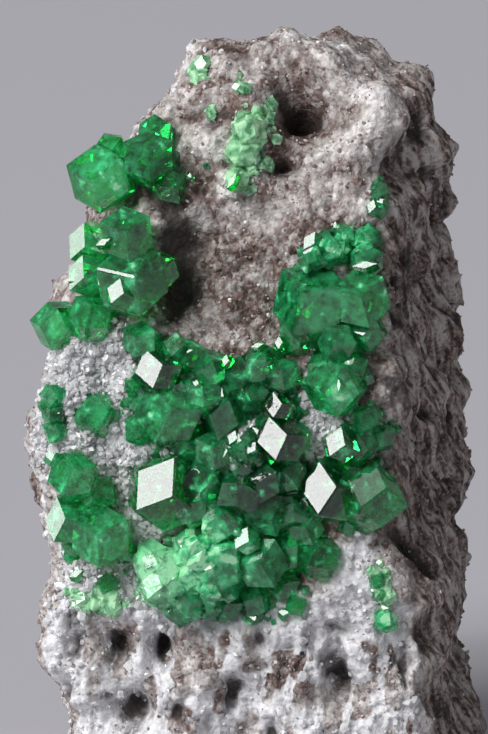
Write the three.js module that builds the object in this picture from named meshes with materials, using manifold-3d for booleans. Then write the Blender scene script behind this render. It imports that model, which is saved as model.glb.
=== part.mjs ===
// A hand-sized mineral specimen: green garnet crystals grown on a block of grey-brown rock.
// Millimetres, +Z up. The viewer looks along +Y, so the crystal face of the block looks to -Y.
// The origin is the middle of the flat cut that the block stands on.

import * as THREE from "three";
import { ConvexGeometry } from "three/addons/geometries/ConvexGeometry.js";
import { mergeVertices } from "three/addons/utils/BufferGeometryUtils.js";
import Module from "manifold-3d";

const wasm = await Module();
wasm.setup();

// Driving dimensions
const ROCK_HEIGHT = 43.2;
const ROCK_STEPS_ROUND = 50;
const ROCK_STEPS_UP = 31;
const SUMMIT_RINGS = 4;
const SUMMIT_RISE = 0.9;
const SQUARENESS = 7;
const STREAK_DIP = THREE.MathUtils.degToRad(40);
const SIGHT_TILT = THREE.MathUtils.degToRad(12);
const FOOT_GAP = 0.1;
const BEVELLED_FROM = 1.75;
const BEVEL_REACH = 1.13;

// The block's four upright corners, from the base to the top. Each point is [height, across, deep].
const CORNERS = {
  frontLeft: [
    [0, -10.7, -5.2], [4, -10.9, -5.6], [8, -12.1, -6.0], [11.5, -12.4, -6.2], [13.6, -11.3, -6.3],
    [17.6, -11.8, -6.5], [21, -12.5, -6.5], [24, -12.2, -6.3], [27.5, -11.2, -6.0], [32.3, -9.4, -5.2],
    [37.2, -7.0, -4.0], [40.3, -5.0, -2.4], [42, -3.6, -0.9], [43.2, -2.7, 0.6],
  ],
  frontRight: [
    [0, 12.0, -8.0], [6.3, 11.4, -8.2], [11.6, 10.4, -8.2], [16.1, 9.2, -8.0], [24, 8.8, -7.5],
    [33, 8.6, -6.8], [38, 8.9, -5.6], [40.5, 9.0, -4.2], [42, 8.2, -2.6], [43.2, 6.2, -0.8],
  ],
  backRight: [
    [0, 13.8, 7.0], [9, 13.7, 7.4], [14, 13.4, 7.4], [19.7, 13.6, 7.2], [24, 12.8, 7.0],
    [27.4, 12.8, 6.8], [30.3, 13.9, 6.6], [34, 13.1, 6.2], [37, 12.4, 5.9], [39.6, 12.0, 5.6],
    [41.2, 11.2, 5.2], [42.3, 9.8, 4.9], [43.2, 8.3, 4.5],
  ],
  backLeft: [
    [0, -9.4, 7.4], [12, -10.6, 8.0], [24, -10.6, 7.6], [32, -8.8, 7.0], [38, -6.0, 6.2],
    [41, -4.0, 5.4], [43.2, -2.4, 4.6],
  ],
};

// Broad swellings and hollows of the front, as the viewer sees them: [across, up, radius, rise].
const FRONT_RELIEF = [
  [3.2, 39.7, 1.2, -3.2], [4.9, 39.0, 1.9, -1.7], [2.2, 36.4, 0.8, -1.3], [-3.7, 28.6, 1.6, -1.7],
  [-3.3, 31.7, 1.3, -1.3], [-0.2, 30.4, 3.2, -0.9], [0.4, 7.0, 5.0, 0.8], [-11.8, 10.2, 1.3, 0.7],
  [-7.7, 6.7, 1.1, -1.8], [-5.0, 7.0, 0.8, -1.4], [-6.7, 3.2, 1.0, -1.5], [5.9, 4.6, 1.1, -1.7],
  [7.9, 39.6, 1.3, 0.7], [0.9, 43.0, 0.8, 1.0], [-2.0, 5.2, 1.4, 0.7], [2.4, 3.8, 1.2, 0.6],
  [0.2, 19.3, 1.1, 1.3],
];

// Relief of the top, the right side, the back and the left side: [across, deep, height, radius, rise].
const FAR_RELIEF = [
  [-0.6, 3.0, 43.6, 0.8, -0.8], [3.0, 4.0, 43.8, 1.0, 0.4], [6.8, 4.0, 43.6, 1.2, 0.3],
  [13.6, 6.8, 19.7, 1.1, 0.6], [11.4, 1.0, 29.5, 1.5, -1.3], [10.2, -3.4, 37.0, 1.6, -0.9],
  [12.0, 0.5, 12.5, 1.8, -1.1], [11.0, -2.5, 22.0, 1.7, -0.8], [12.6, 3.5, 5.0, 1.8, 0.8],
  [4.0, 7.4, 30.0, 3.4, 1.1], [-4.0, 8.0, 18.0, 4.0, 1.2], [6.5, 7.3, 12.0, 3.0, -1.2],
  [-3.0, 6.8, 34.0, 2.8, -1.1], [-10.8, 2.0, 27.0, 2.6, 0.9], [-11.0, 1.5, 12.0, 2.8, -1.0],
  [0.5, 7.6, 5.0, 2.6, 0.9], [9.5, 7.0, 22.5, 2.4, 0.8],
];

// The garnets. A crystal is [across, up, size, forward] with, where its turn shows, [looks, lifts, leans].
// Size is from the middle to a face; forward is how far the middle stands before the rock.
// Looks and lifts aim one lozenge face, to the right and upwards in degrees; leans turns it clockwise.
const GARNETS = {
  upper_left_garnets: [
    [-8.4, 35.4, 1.8, 0.9, [14, -6, 20]], [-8.0, 37.0, 0.95, 0.5, [-18, 38, 60]],
    [-5.8, 36.4, 1.45, 0.7, [35, 10, 40]], [-5.3, 38.0, 0.95, 0.7, [-48, 34, 10]],
    [-4.5, 34.9, 0.9, 0.5, [20, 30, 70]],
  ],
  middle_left_garnets: [
    [-7.0, 31.9, 1.5, 1.3, [-8, 52, 80]], [-6.8, 29.1, 2.0, 1.5, [40, 6, 25]],
    [-9.1, 31.4, 1.2, 1.1, [-52, 15, 14]], [-9.2, 29.5, 1.15, 1.2, [-51, 16, 12]],
    [-7.4, 28.4, 0.8, 2.9, [-22, 24, 12]], [-4.9, 29.8, 0.95, 0.8, [30, -5, 15]],
    [-11.1, 26.5, 1.3, 0.9, [-12, 2, 8]], [-9.2, 26.9, 1.2, 0.9, [28, 16, 60]],
  ],
  main_garnets: [
    [-6.1, 25.6, 1.0, 0.7, [10, 0, 35]], [-5.3, 23.65, 1.25, 0.9, [-20, 24, -20]],
    [-4.2, 25.0, 0.85, 0.4, [0, 40, 10]], [-3.1, 24.5, 1.0, 0.3, [25, 10, 70]],
    [-1.9, 23.8, 1.1, 0.4, [-15, -10, 20]], [-0.4, 23.5, 1.0, 0.4, [15, 25, 5]],
    [1.1, 24.0, 1.15, 0.4, [-30, 0, 50]], [2.5, 23.4, 0.95, 0.4, [20, 15, 30]],
    [-4.5, 21.2, 1.85, 0.7, [22, -10, 58]], [-6.3, 20.3, 0.85, 0.5, [-25, 10, 30]],
    [-2.4, 22.2, 1.0, 0.5, [30, 20, 45]], [-1.0, 21.1, 1.3, 0.3, [-10, 0, 15]],
    [0.4, 22.1, 0.95, 0.4, [15, -20, 60]], [-3.3, 19.2, 0.9, 0.7, [0, -30, 10]],
    [-1.7, 18.9, 1.15, 0.4, [25, 5, 35]], [1.2, 17.2, 1.15, 0.4, [10, -10, 25]],
    [-2.4, 17.2, 1.2, 0.5, [-20, 15, 75]], [-0.2, 16.5, 1.2, 0.5, [-35, 5, 50]],
    [2.6, 17.5, 1.1, 0.5, [30, 25, 5]], [-3.1, 15.5, 1.0, 0.8, [15, 5, 40]],
    [-1.3, 14.8, 1.2, 0.7, [-15, -15, 20]], [1.1, 15.5, 1.3, 0.6, [5, 20, 65]],
    [2.9, 15.3, 0.95, 0.6, [-25, 0, 30]], [3.7, 14.3, 1.0, 0.6, [35, 10, 15]],
    [2.0, 21.6, 0.8, 1.1, [-21, 24, -10]], [2.15, 19.45, 1.35, 1.2, [-22, 24, -18]],
    [3.2, 19.9, 0.75, 0.7, [20, 0, 40]], [-4.65, 16.6, 2.1, 0.5, [-20, 23, 30]],
    [5.1, 16.45, 1.75, 0.5, [-23, 22, -8]], [7.5, 16.1, 1.75, 0.8, [-4, 43, 12]],
    [6.3, 17.4, 0.9, 0.6, [-5, 20, 60]], [-1.9, 12.1, 1.85, 1.1, [18, 2, 34]],
    [-4.6, 11.4, 1.55, 0.7, [-12, 10, 66]], [-3.2, 13.4, 0.95, 0.9, [-20, 35, 10]],
    [-5.6, 12.7, 0.85, 0.6, [30, 0, 45]], [-3.5, 9.8, 1.15, 0.5, [0, -20, 20]],
    [-1.1, 9.7, 0.95, 0.5, [20, -15, 55]], [0.1, 13.6, 0.75, 1.4, [-22, 26, 20]],
    [1.1, 12.3, 1.45, 0.9, [32, 8, 5]], [2.9, 12.9, 1.15, 0.6, [-18, -8, 40]],
    [4.5, 12.6, 1.15, 0.5, [15, 12, 72]], [0.8, 10.2, 1.0, 0.5, [-10, -25, 30]],
    [2.4, 10.9, 0.9, 0.4, [25, -10, 50]],
  ],
  flat_left_garnet: [[-8.9, 21.2, 1.2, 0.3, [-6, 8, 62]]],
  rim_left_garnets: [
    [-11.4, 22.3, 0.7, 0.4, [-20, 5, 0]], [-11.4, 21.2, 0.65, 0.4, [10, 10, 40]],
    [-11.3, 20.2, 0.65, 0.3, [-15, -5, 20]],
  ],
  lower_left_garnets: [
    [-10.2, 17.4, 1.35, 0.8, [16, 2, 50]], [-8.7, 16.5, 0.95, 0.8, [-38, 12, 15]],
    [-8.5, 13.9, 1.7, 1.2, [22, -4, 30]], [-10.3, 14.7, 1.35, 1.1, [-52, 15, -12]],
    [-10.2, 13.4, 0.65, 1.0, [-25, 30, 70]],
  ],
  right_edge_garnets: [
    [7.3, 20.9, 0.95, 0.5, [10, 15, 25]], [8.2, 19.8, 0.75, 0.4, [35, 5, 50]],
    [7.1, 19.4, 0.8, 0.6, [-15, -10, 5]], [5.8, 19.35, 0.95, 1.0, [-22, 24, 14]],
  ],
  upper_right_garnets: [
    [5.5, 22.9, 1.55, 0.9, [12, -2, 8]], [4.7, 23.9, 0.8, 0.6, [-42, 0, 40]],
    [6.5, 24.0, 0.8, 0.7, [30, 15, 65]], [4.3, 27.7, 2.2, 0.5, [6, 4, 48]],
    [7.0, 28.0, 1.6, 0.6, [34, 6, 22]], [3.3, 25.9, 1.1, 0.7, [-30, -5, 30]],
    [5.7, 25.5, 1.1, 0.9, [5, -25, 55]], [7.4, 26.1, 0.95, 0.7, [20, -5, 10]],
    [5.5, 31.0, 0.8, 0.6, [0, 12, 45]], [4.2, 30.5, 0.7, 0.6, [-25, 30, 15]],
    [7.3, 30.4, 0.9, 0.7, [15, 35, 85]], [7.6, 31.6, 0.65, 0.5, [30, 10, 35]],
  ],
  pale_centre_garnets: [
    [0.3, 38.2, 0.85, 0.4, [-10, 10, 20]], [-0.1, 36.9, 0.95, 0.4, [20, -5, 60]],
    [-0.4, 35.3, 0.7, 0.5, [-30, 15, 35]],
  ],
  top_left_garnets: [[-2.5, 42.2, 0.55, 0.3, [-15, 20, 0]], [-2.7, 41.4, 0.5, 0.3, [20, 0, 40]]],
  right_rim_small_garnets: [[8.0, 34.6, 0.55, 0.3, [10, 5, 15]], [8.1, 33.7, 0.55, 0.3, [-20, 20, 55]]],
  foot_left_garnets: [[-9.7, 10.1, 0.5, 0.3, [-20, 20, 20]], [-8.9, 9.8, 0.5, 0.3, [15, 0, 50]]],
  foot_right_garnet: [[8.5, 8.8, 0.65, 0.4, [-8, 10, 30]]],
  side_small_garnets: [[8.0, 11.2, 0.5, 0.3, [0, 15, 25]], [8.2, 10.4, 0.45, 0.3, [-25, 5, 60]]],
};

// Helpers

function between(points, height) {
  const last = points.length - 1;
  const next = points.findIndex(([z]) => z > height);
  if (next === -1) return points[last].slice(1);
  if (next === 0) return points[0].slice(1);
  const [z0, x0, y0] = points[next - 1];
  const [z1, x1, y1] = points[next];
  const share = (height - z0) / (z1 - z0);
  return [x0 + share * (x1 - x0), y0 + share * (y1 - y0)];
}

// A slice of the block is a square with round corners, side and deep from -1 to 1,
// stretched over the four corners at that height.
function onSlice(side, deep, height) {
  const [fl, fr, br, bl] = ["frontLeft", "frontRight", "backRight", "backLeft"].map((corner) =>
    between(CORNERS[corner], height),
  );
  const right = (1 + side) / 2;
  const back = (1 + deep) / 2;
  const along = (i) =>
    (1 - back) * ((1 - right) * fl[i] + right * fr[i]) + back * ((1 - right) * bl[i] + right * br[i]);
  return new THREE.Vector3(along(0), along(1), height);
}

function roundSquare(angle) {
  const c = Math.cos(angle);
  const s = Math.sin(angle);
  const size = (Math.abs(c) ** SQUARENESS + Math.abs(s) ** SQUARENESS) ** (1 / SQUARENESS);
  return [c / size, s / size];
}

// A random value for each cell of a cubic lattice.
function lattice(i, j, k) {
  const wave = Math.sin(i * 127.1 + j * 311.7 + k * 74.7) * 43758.5453;
  return wave - Math.floor(wave);
}

const CELL_STEPS = [-1, 0, 1];
const CELL_CORNERS = [[0, 0, 0], [1, 0, 0], [0, 1, 0], [1, 1, 0], [0, 0, 1], [1, 0, 1], [0, 1, 1], [1, 1, 1]];

// Smooth random lumps from -1 to 1: the lattice values blended inside each cell.
function lumps(point, wavelength) {
  const [x, y, z] = point.toArray().map((value) => value / wavelength);
  const [i, j, k] = [x, y, z].map(Math.floor);
  const [u, v, w] = [x - i, y - j, z - k].map((t) => t * t * (3 - 2 * t));
  let sum = 0;
  for (const [di, dj, dk] of CELL_CORNERS) {
    const weight = (di ? u : 1 - u) * (dj ? v : 1 - v) * (dk ? w : 1 - w);
    sum += weight * lattice(i + di, j + dj, k + dk);
  }
  return 2 * sum - 1;
}

// Packed grains: 1 in the middle of a grain, falling to about -1 in the joints between grains.
function grains(point, width) {
  const [x, y, z] = point.toArray().map((value) => value / width);
  const [i, j, k] = [x, y, z].map(Math.floor);
  let nearest = 9;
  for (const di of CELL_STEPS) {
    for (const dj of CELL_STEPS) {
      for (const dk of CELL_STEPS) {
        const [a, b, c] = [i + di, j + dj, k + dk];
        const gapX = a + lattice(a, b, c) - x;
        const gapY = b + lattice(a + 41, b, c) - y;
        const gapZ = c + lattice(a, b + 67, c) - z;
        nearest = Math.min(nearest, Math.hypot(gapX, gapY, gapZ));
      }
    }
  }
  return 1 - 2 * nearest;
}

// The point of the plain front face at a place across and a height.
function onFront(across, height) {
  let [side, deep] = [0, -1];
  for (let pass = 0; pass < 6; pass += 1) {
    const left = onSlice(-1, deep, height).x;
    const right = onSlice(1, deep, height).x;
    side = THREE.MathUtils.clamp((2 * (across - left)) / (right - left) - 1, -0.97, 0.97);
    deep = -((1 - Math.abs(side) ** SQUARENESS) ** (1 / SQUARENESS));
  }
  return onSlice(side, deep, height);
}

// Where a line of sight at [across, up] meets the plain front face. The line drops by the sight tilt.
function seen(across, up) {
  let height = up;
  let point = new THREE.Vector3();
  for (let pass = 0; pass < 12; pass += 1) {
    point = onFront(across, THREE.MathUtils.clamp(height, 0.5, ROCK_HEIGHT));
    height = (up - point.y * Math.sin(SIGHT_TILT)) / Math.cos(SIGHT_TILT);
  }
  return new THREE.Vector3(across, point.y, height);
}

const relief = [
  ...FRONT_RELIEF.map(([across, up, radius, rise]) => ({ at: seen(across, up), radius, rise })),
  ...FAR_RELIEF.map(([x, y, z, radius, rise]) => ({ at: new THREE.Vector3(x, y, z), radius, rise })),
];

// Ridges that slant down towards the back, as on the weathered right side.
function streaks(point) {
  const across = point.y * Math.sin(STREAK_DIP) + point.z * Math.cos(STREAK_DIP);
  const along = point.y * Math.cos(STREAK_DIP) - point.z * Math.sin(STREAK_DIP);
  return lumps(new THREE.Vector3(point.x / 4, across / 1.7, along / 7), 1);
}

// How far the rough surface stands out of the plain block at a point whose outward direction is out.
function roughness(point, out) {
  let rise = 0.85 * lumps(point, 6.3) + 0.65 * lumps(point, 3.1) + 0.6 * grains(point, 2.7);
  rise += 0.75 * Math.max(0, out.x) ** 2 * streaks(point);
  for (const form of relief) {
    rise += form.rise * Math.exp(-point.distanceToSquared(form.at) / form.radius ** 2);
  }
  return rise;
}

// One closed ring of the plain block, drawn in towards its middle by the share inset.
function ringPoints(height, turn, inset, lift) {
  const steps = Array.from({ length: ROCK_STEPS_ROUND }, (_, step) => step);
  return steps.map((step) => {
    const [side, deep] = roundSquare((2 * Math.PI * (step + turn)) / ROCK_STEPS_ROUND);
    const point = onSlice(side * (1 - inset), deep * (1 - inset), height);
    return point.setZ(height + lift);
  });
}

// The rock: rough rings stacked from the flat cut to the summit. Extra moves its surface outwards.
function rockGeometry(extra) {
  const points = [];
  const faces = [];
  const rings = ROCK_STEPS_UP + SUMMIT_RINGS;
  for (let level = 0; level < rings; level += 1) {
    const height = ROCK_HEIGHT * Math.min(1, level / ROCK_STEPS_UP);
    const inset = Math.max(0, level - ROCK_STEPS_UP) / SUMMIT_RINGS;
    const lift = SUMMIT_RISE * (1 - (1 - inset) ** 2);
    points.push(...ringPoints(height, (level % 2) / 2, inset, lift));
  }
  for (let level = 0; level < rings - 1; level += 1) {
    for (let step = 0; step < ROCK_STEPS_ROUND; step += 1) {
      const next = (step + 1) % ROCK_STEPS_ROUND;
      const [a, b] = [step, next].map((i) => level * ROCK_STEPS_ROUND + i);
      const [c, d] = [step, next].map((i) => (level + 1) * ROCK_STEPS_ROUND + i);
      if (level % 2) faces.push(a, b, d, a, d, c);
      else faces.push(a, b, c, b, d, c);
    }
  }
  const lastRing = points.length - ROCK_STEPS_ROUND;
  points.push(onSlice(0, 0, ROCK_HEIGHT).setZ(ROCK_HEIGHT + SUMMIT_RISE));
  for (let step = 0; step < ROCK_STEPS_ROUND; step += 1) {
    faces.push(lastRing + step, lastRing + ((step + 1) % ROCK_STEPS_ROUND), points.length - 1);
  }
  const plain = new THREE.BufferGeometry().setFromPoints(points).setIndex(faces);
  plain.computeVertexNormals();
  const normals = plain.getAttribute("normal");
  const rough = points.map((point, i) => {
    const out = new THREE.Vector3().fromBufferAttribute(normals, i);
    if (i < ROCK_STEPS_ROUND) out.setZ(0).normalize();
    return point.clone().addScaledVector(out, roughness(point, out) + extra);
  });
  const outline = rough.slice(0, ROCK_STEPS_ROUND).map((p) => new THREE.Vector2(p.x, p.y));
  const cut = THREE.ShapeUtils.triangulateShape(outline, []).flatMap(([a, b, c]) => [a, c, b]);
  return new THREE.BufferGeometry().setFromPoints(rough).setIndex([...faces, ...cut]);
}

// All points that the signs and orders of three numbers give.
function cubicPoints(a, b, c) {
  const found = new Map();
  for (const [x, y, z] of [[a, b, c], [b, c, a], [c, a, b], [b, a, c], [a, c, b], [c, b, a]]) {
    for (const [i, j, k] of [[1, 1, 1], [-1, 1, 1], [1, -1, 1], [1, 1, -1], [-1, -1, 1], [-1, 1, -1], [1, -1, -1], [-1, -1, -1]]) {
      const point = new THREE.Vector3(x * i, y * j, z * k);
      found.set(point.toArray().map((value) => value.toFixed(5) * 1 + 0).join(), point);
    }
  }
  return [...found.values()];
}

// A garnet with 12 lozenge faces, 1 from middle to face.
function lozengeCrystal() {
  const third = 1 / Math.SQRT2;
  return new ConvexGeometry([...cubicPoints(Math.SQRT2, 0, 0), ...cubicPoints(third, third, third)]);
}

// The same garnet with a narrow face along each edge: 12 lozenges and 24 strips.
function bevelledCrystal() {
  const reach = BEVEL_REACH * Math.sqrt(6);
  return new ConvexGeometry([
    ...cubicPoints(reach - Math.SQRT2, 2 * Math.SQRT2 - reach, 0),
    ...cubicPoints(1 / Math.SQRT2, 1 / Math.SQRT2, reach - 3 / Math.SQRT2),
    ...cubicPoints(reach / 2, 0, 0),
    ...cubicPoints(reach / 4, reach / 4, reach / 4),
  ]);
}

// Turns a crystal so that one lozenge looks the given way, its long diagonal upright but for the lean.
function facing(looks, lifts, leans) {
  const [az, el, roll] = [looks, lifts, leans].map(THREE.MathUtils.degToRad);
  const normal = new THREE.Vector3(Math.sin(az) * Math.cos(el), -Math.cos(az) * Math.cos(el), Math.sin(el));
  const upright = new THREE.Vector3(-Math.sin(az) * Math.sin(el), Math.cos(az) * Math.sin(el), Math.cos(el));
  const level = upright.clone().cross(normal);
  const long = upright.multiplyScalar(Math.cos(roll)).addScaledVector(level, Math.sin(roll));
  const short = long.clone().cross(normal);
  const crystalAxes = new THREE.Matrix4().makeBasis(
    new THREE.Vector3(0, 0, 1),
    new THREE.Vector3(1, -1, 0).normalize(),
    new THREE.Vector3(1, 1, 0).normalize(),
  );
  const lookAxes = new THREE.Matrix4().makeBasis(short, long, normal);
  return lookAxes.multiply(crystalAxes.transpose());
}

function solidOf(geometry) {
  const bare = geometry.clone();
  bare.deleteAttribute("normal");
  bare.deleteAttribute("uv");
  const merged = mergeVertices(bare, 1e-4);
  return new wasm.Manifold(
    new wasm.Mesh({
      numProp: 3,
      vertProperties: new Float32Array(merged.getAttribute("position").array),
      triVerts: new Uint32Array(merged.index.array),
    }),
  );
}

function geometryOf(solid) {
  const mesh = solid.getMesh();
  const geometry = new THREE.BufferGeometry();
  geometry.setAttribute("position", new THREE.BufferAttribute(new Float32Array(mesh.vertProperties), 3));
  geometry.setIndex(new THREE.BufferAttribute(new Uint32Array(mesh.triVerts), 1));
  return geometry;
}

const TOWARDS_VIEWER = new THREE.Vector3(0, -1, 0);
const plainCrystal = lozengeCrystal();
const fineCrystal = bevelledCrystal();

// One crystal in place.
function crystalSolid([across, up, size, forward, turn]) {
  const foot = seen(across, up);
  const deep = foot.y - roughness(foot, TOWARDS_VIEWER) - forward;
  const height = (up - deep * Math.sin(SIGHT_TILT)) / Math.cos(SIGHT_TILT);
  const place = new THREE.Matrix4().makeTranslation(across, deep, height);
  place.multiply(facing(...turn));
  place.scale(new THREE.Vector3().setScalar(size));
  const shape = size >= BEVELLED_FROM ? fineCrystal : plainCrystal;
  return solidOf(shape.clone().applyMatrix4(place));
}

const rockStone = new THREE.MeshStandardMaterial({ color: 0x9a8f8a, roughness: 0.85, metalness: 0 });
const greenGarnet = new THREE.MeshStandardMaterial({ color: 0x12803c, roughness: 0.12, metalness: 0 });

const specimen = new THREE.Group();

function addPiece(name, solid, material) {
  const mesh = new THREE.Mesh(geometryOf(solid), material);
  mesh.name = name;
  specimen.add(mesh);
}

const rock = solidOf(rockGeometry(0));
addPiece("matrix", rock, rockStone);

// Crystals grown into each other are one solid, which ends where it stands on the rock.
const standing = solidOf(rockGeometry(FOOT_GAP));
for (const [name, crystals] of Object.entries(GARNETS)) {
  const cluster = wasm.Manifold.union(crystals.map(crystalSolid));
  addPiece(name, cluster.subtract(standing), greenGarnet);
}

export default specimen;
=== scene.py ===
"""Green uvarovite garnets on a block of granular rock: surfaces, finishes, studio and camera.

Lengths are millimetres in the dataclasses and metres in the meshes. The viewer looks along +Y and
down by SIGHT_TILT. A place on the front is given as the viewer sees it: across, along X, and up,
square to the line of sight.
"""

import logging
import math
from dataclasses import dataclass, field
from enum import Enum

import bpy
import numpy as np
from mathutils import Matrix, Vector


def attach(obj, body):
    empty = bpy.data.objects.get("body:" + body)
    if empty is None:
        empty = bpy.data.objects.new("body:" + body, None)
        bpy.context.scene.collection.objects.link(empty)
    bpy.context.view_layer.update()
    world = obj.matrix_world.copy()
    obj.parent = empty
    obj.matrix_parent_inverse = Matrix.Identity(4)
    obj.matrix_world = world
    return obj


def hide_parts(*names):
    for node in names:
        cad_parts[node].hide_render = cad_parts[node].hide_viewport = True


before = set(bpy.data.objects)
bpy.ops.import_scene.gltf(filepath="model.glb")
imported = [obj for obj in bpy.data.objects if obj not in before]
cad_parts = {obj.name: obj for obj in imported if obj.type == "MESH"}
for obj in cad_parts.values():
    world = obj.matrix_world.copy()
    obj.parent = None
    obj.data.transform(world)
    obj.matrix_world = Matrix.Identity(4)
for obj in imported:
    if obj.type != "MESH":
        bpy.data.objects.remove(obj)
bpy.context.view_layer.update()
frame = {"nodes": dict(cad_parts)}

LOG = logging.getLogger("uvarovite")
MM = 0.001
SIGHT_TILT = math.radians(12.0)
FIBRE_DIP = math.radians(50.0)
LAYER_LEAN = math.radians(38.0)
FIBRE_SQUEEZE = (0.5, 1.0, 0.1)
Socket = bpy.types.NodeSocket
Colour = tuple[float, float, float]


# Helpers for arrays and meshes


def lattice(i: np.ndarray, j: np.ndarray, k: np.ndarray) -> np.ndarray:
    """A random value from 0 to 1 for each cell of a cubic lattice."""
    wave = np.sin(i * 127.1 + j * 311.7 + k * 74.7) * 43758.5453
    return wave - np.floor(wave)


def lumps(points: np.ndarray, wavelength: float | tuple[float, float, float]) -> np.ndarray:
    """Smooth random lumps from -1 to 1: lattice values blended inside each cell.

    Args:
        points: places, one row each.
        wavelength: the cell's width, or its width along each axis.

    Returns:
        The value at each place.
    """
    scaled = points / np.asarray(wavelength)
    cell = np.floor(scaled)
    part = scaled - cell
    part = part * part * (3 - 2 * part)
    total = np.zeros(len(points))
    for step in np.ndindex(2, 2, 2):
        weight = np.prod(np.where(np.asarray(step) == 1, part, 1 - part), axis=1)
        total += weight * lattice(*(cell + step).T)
    return 2 * total - 1


def packed_grains(points: np.ndarray, width: float) -> tuple[np.ndarray, np.ndarray]:
    """Packed grains: each place belongs to the nearest of the random points, one in each cell.

    Args:
        points: places, one row each.
        width: the width of a grain.

    Returns:
        A height, 1 in the middle of a grain and falling to about -1 in the joints, and the
        grain's own random value from 0 to 1.
    """
    scaled = points / width
    cell = np.floor(scaled)
    nearest = np.full(len(points), 9.0)
    owner = np.zeros(len(points))
    for step in np.ndindex(3, 3, 3):
        i, j, k = (cell + np.asarray(step) - 1).T
        seat = np.stack([i + lattice(i, j, k), j + lattice(i + 41, j, k), k + lattice(i, j + 67, k)], 1)
        distance = np.linalg.norm(seat - scaled, axis=1)
        closer = distance < nearest
        owner = np.where(closer, lattice(i + 13, j + 29, k + 7), owner)
        nearest = np.where(closer, distance, nearest)
    return 1 - 2 * nearest, owner


def smooth_step(low: float, high: float, value: np.ndarray) -> np.ndarray:
    """Rises from 0 at low to 1 at high along an S-shaped curve."""
    share = np.clip((value - low) / (high - low), 0, 1)
    return share * share * (3 - 2 * share)


def unit(vectors: np.ndarray) -> np.ndarray:
    """The same directions with length 1."""
    return vectors / np.maximum(np.linalg.norm(vectors, axis=-1, keepdims=True), 1e-12)


def seen_place(points: np.ndarray) -> tuple[np.ndarray, np.ndarray]:
    """Where the viewer sees each point: across is x, up is y sin(tilt) + z cos(tilt)."""
    up = points[..., 1] * math.sin(SIGHT_TILT) + points[..., 2] * math.cos(SIGHT_TILT)
    return points[..., 0], up


def fibre_axes() -> np.ndarray:
    """The axes of the streaks on the right side.

    Returns:
        Three unit rows: across a streak within its layer, square to the layers, and along the
        streaks, which slant down towards the back by FIBRE_DIP.
    """
    dip_sin, dip_cos = math.sin(FIBRE_DIP), math.cos(FIBRE_DIP)
    lean_sin, lean_cos = math.sin(LAYER_LEAN), math.cos(LAYER_LEAN)
    square = np.array([lean_sin, lean_cos * dip_sin, lean_cos * dip_cos])
    along = np.array([0.0, dip_cos, -dip_sin])
    return np.stack([np.cross(square, along), square, along])


def mesh_piece(name: str, points: np.ndarray, faces: list[np.ndarray], smooth: bool) -> bpy.types.Object:
    """Makes a mesh object that rides on the root body.

    Args:
        name: the piece's name.
        points: places in millimetres, one row each.
        faces: arrays of corner numbers, each array holding faces with one count of corners.
        smooth: shade the faces as one smooth surface.

    Returns:
        The new object.
    """
    mesh = bpy.data.meshes.new(name)
    mesh.vertices.add(len(points))
    mesh.vertices.foreach_set("co", (points * MM).astype(np.float32).ravel())
    corners = np.concatenate([group.ravel() for group in faces]).astype(np.int32)
    counts = np.concatenate([np.full(len(group), group.shape[1]) for group in faces])
    mesh.loops.add(len(corners))
    mesh.loops.foreach_set("vertex_index", corners)
    mesh.polygons.add(len(counts))
    mesh.polygons.foreach_set("loop_start", (np.cumsum(counts) - counts).astype(np.int32))
    mesh.polygons.foreach_set("use_smooth", np.full(len(counts), smooth))
    mesh.update(calc_edges=True)
    mesh.validate()
    piece = bpy.data.objects.new(name, mesh)
    bpy.context.scene.collection.objects.link(piece)
    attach(piece, "root")
    return piece


def add_attribute(piece: bpy.types.Object, name: str, values: np.ndarray) -> None:
    """Stores one number for each vertex of a piece."""
    layer = piece.data.attributes.new(name, "FLOAT", "POINT")
    layer.data.foreach_set("value", values.astype(np.float32))


def turned_copies(
    shape: np.ndarray, faces: np.ndarray, centres: np.ndarray, axes: np.ndarray
) -> tuple[np.ndarray, np.ndarray]:
    """Copies of one shape. Point v of copy n lies at centre[n] + axes[n] times shape[v].

    Args:
        shape: the points of the shape.
        faces: its faces, all with one count of corners.
        centres: the middle of each copy.
        axes: a 3 by 3 matrix for each copy, with its turn and its stretch.

    Returns:
        The points of all copies and their faces.
    """
    points = centres[:, None, :] + np.einsum("vj,nij->nvi", shape, axes)
    numbers = faces[None] + len(shape) * np.arange(len(centres))[:, None, None]
    return points.reshape(-1, 3), numbers.reshape(-1, faces.shape[1])


def random_turns(random: np.random.Generator, count: int) -> np.ndarray:
    """Even random rotations: matrices of random unit quaternions.

    Args:
        random: the seeded source.
        count: how many.

    Returns:
        A 3 by 3 matrix for each.
    """
    w, x, y, z = unit(random.normal(size=(count, 4))).T
    rows = [
        [1 - 2 * (y * y + z * z), 2 * (x * y - z * w), 2 * (x * z + y * w)],
        [2 * (x * y + z * w), 1 - 2 * (x * x + z * z), 2 * (y * z - x * w)],
        [2 * (x * z - y * w), 2 * (y * z + x * w), 1 - 2 * (x * x + y * y)],
    ]
    return np.moveaxis(np.array(rows), 2, 0)


# Places on the front, as the viewer sees them


@dataclass(frozen=True)
class Patch:
    """A soft oval on the front: 1 in the middle, falling off with the square of the distance."""

    across: float
    up: float
    wide: float
    tall: float
    amount: float = 1.0

    def weight(self, across: np.ndarray, up: np.ndarray) -> np.ndarray:
        """amount * exp(-(distance across / wide)^2 - (distance up / tall)^2)."""
        spread = ((across - self.across) / self.wide) ** 2 + ((up - self.up) / self.tall) ** 2
        return self.amount * np.exp(-spread)


def patch_sum(patches: tuple[Patch, ...], across: np.ndarray, up: np.ndarray) -> np.ndarray:
    """The sum of the patches' weights at each place."""
    return sum((patch.weight(across, up) for patch in patches), np.zeros_like(across))


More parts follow.
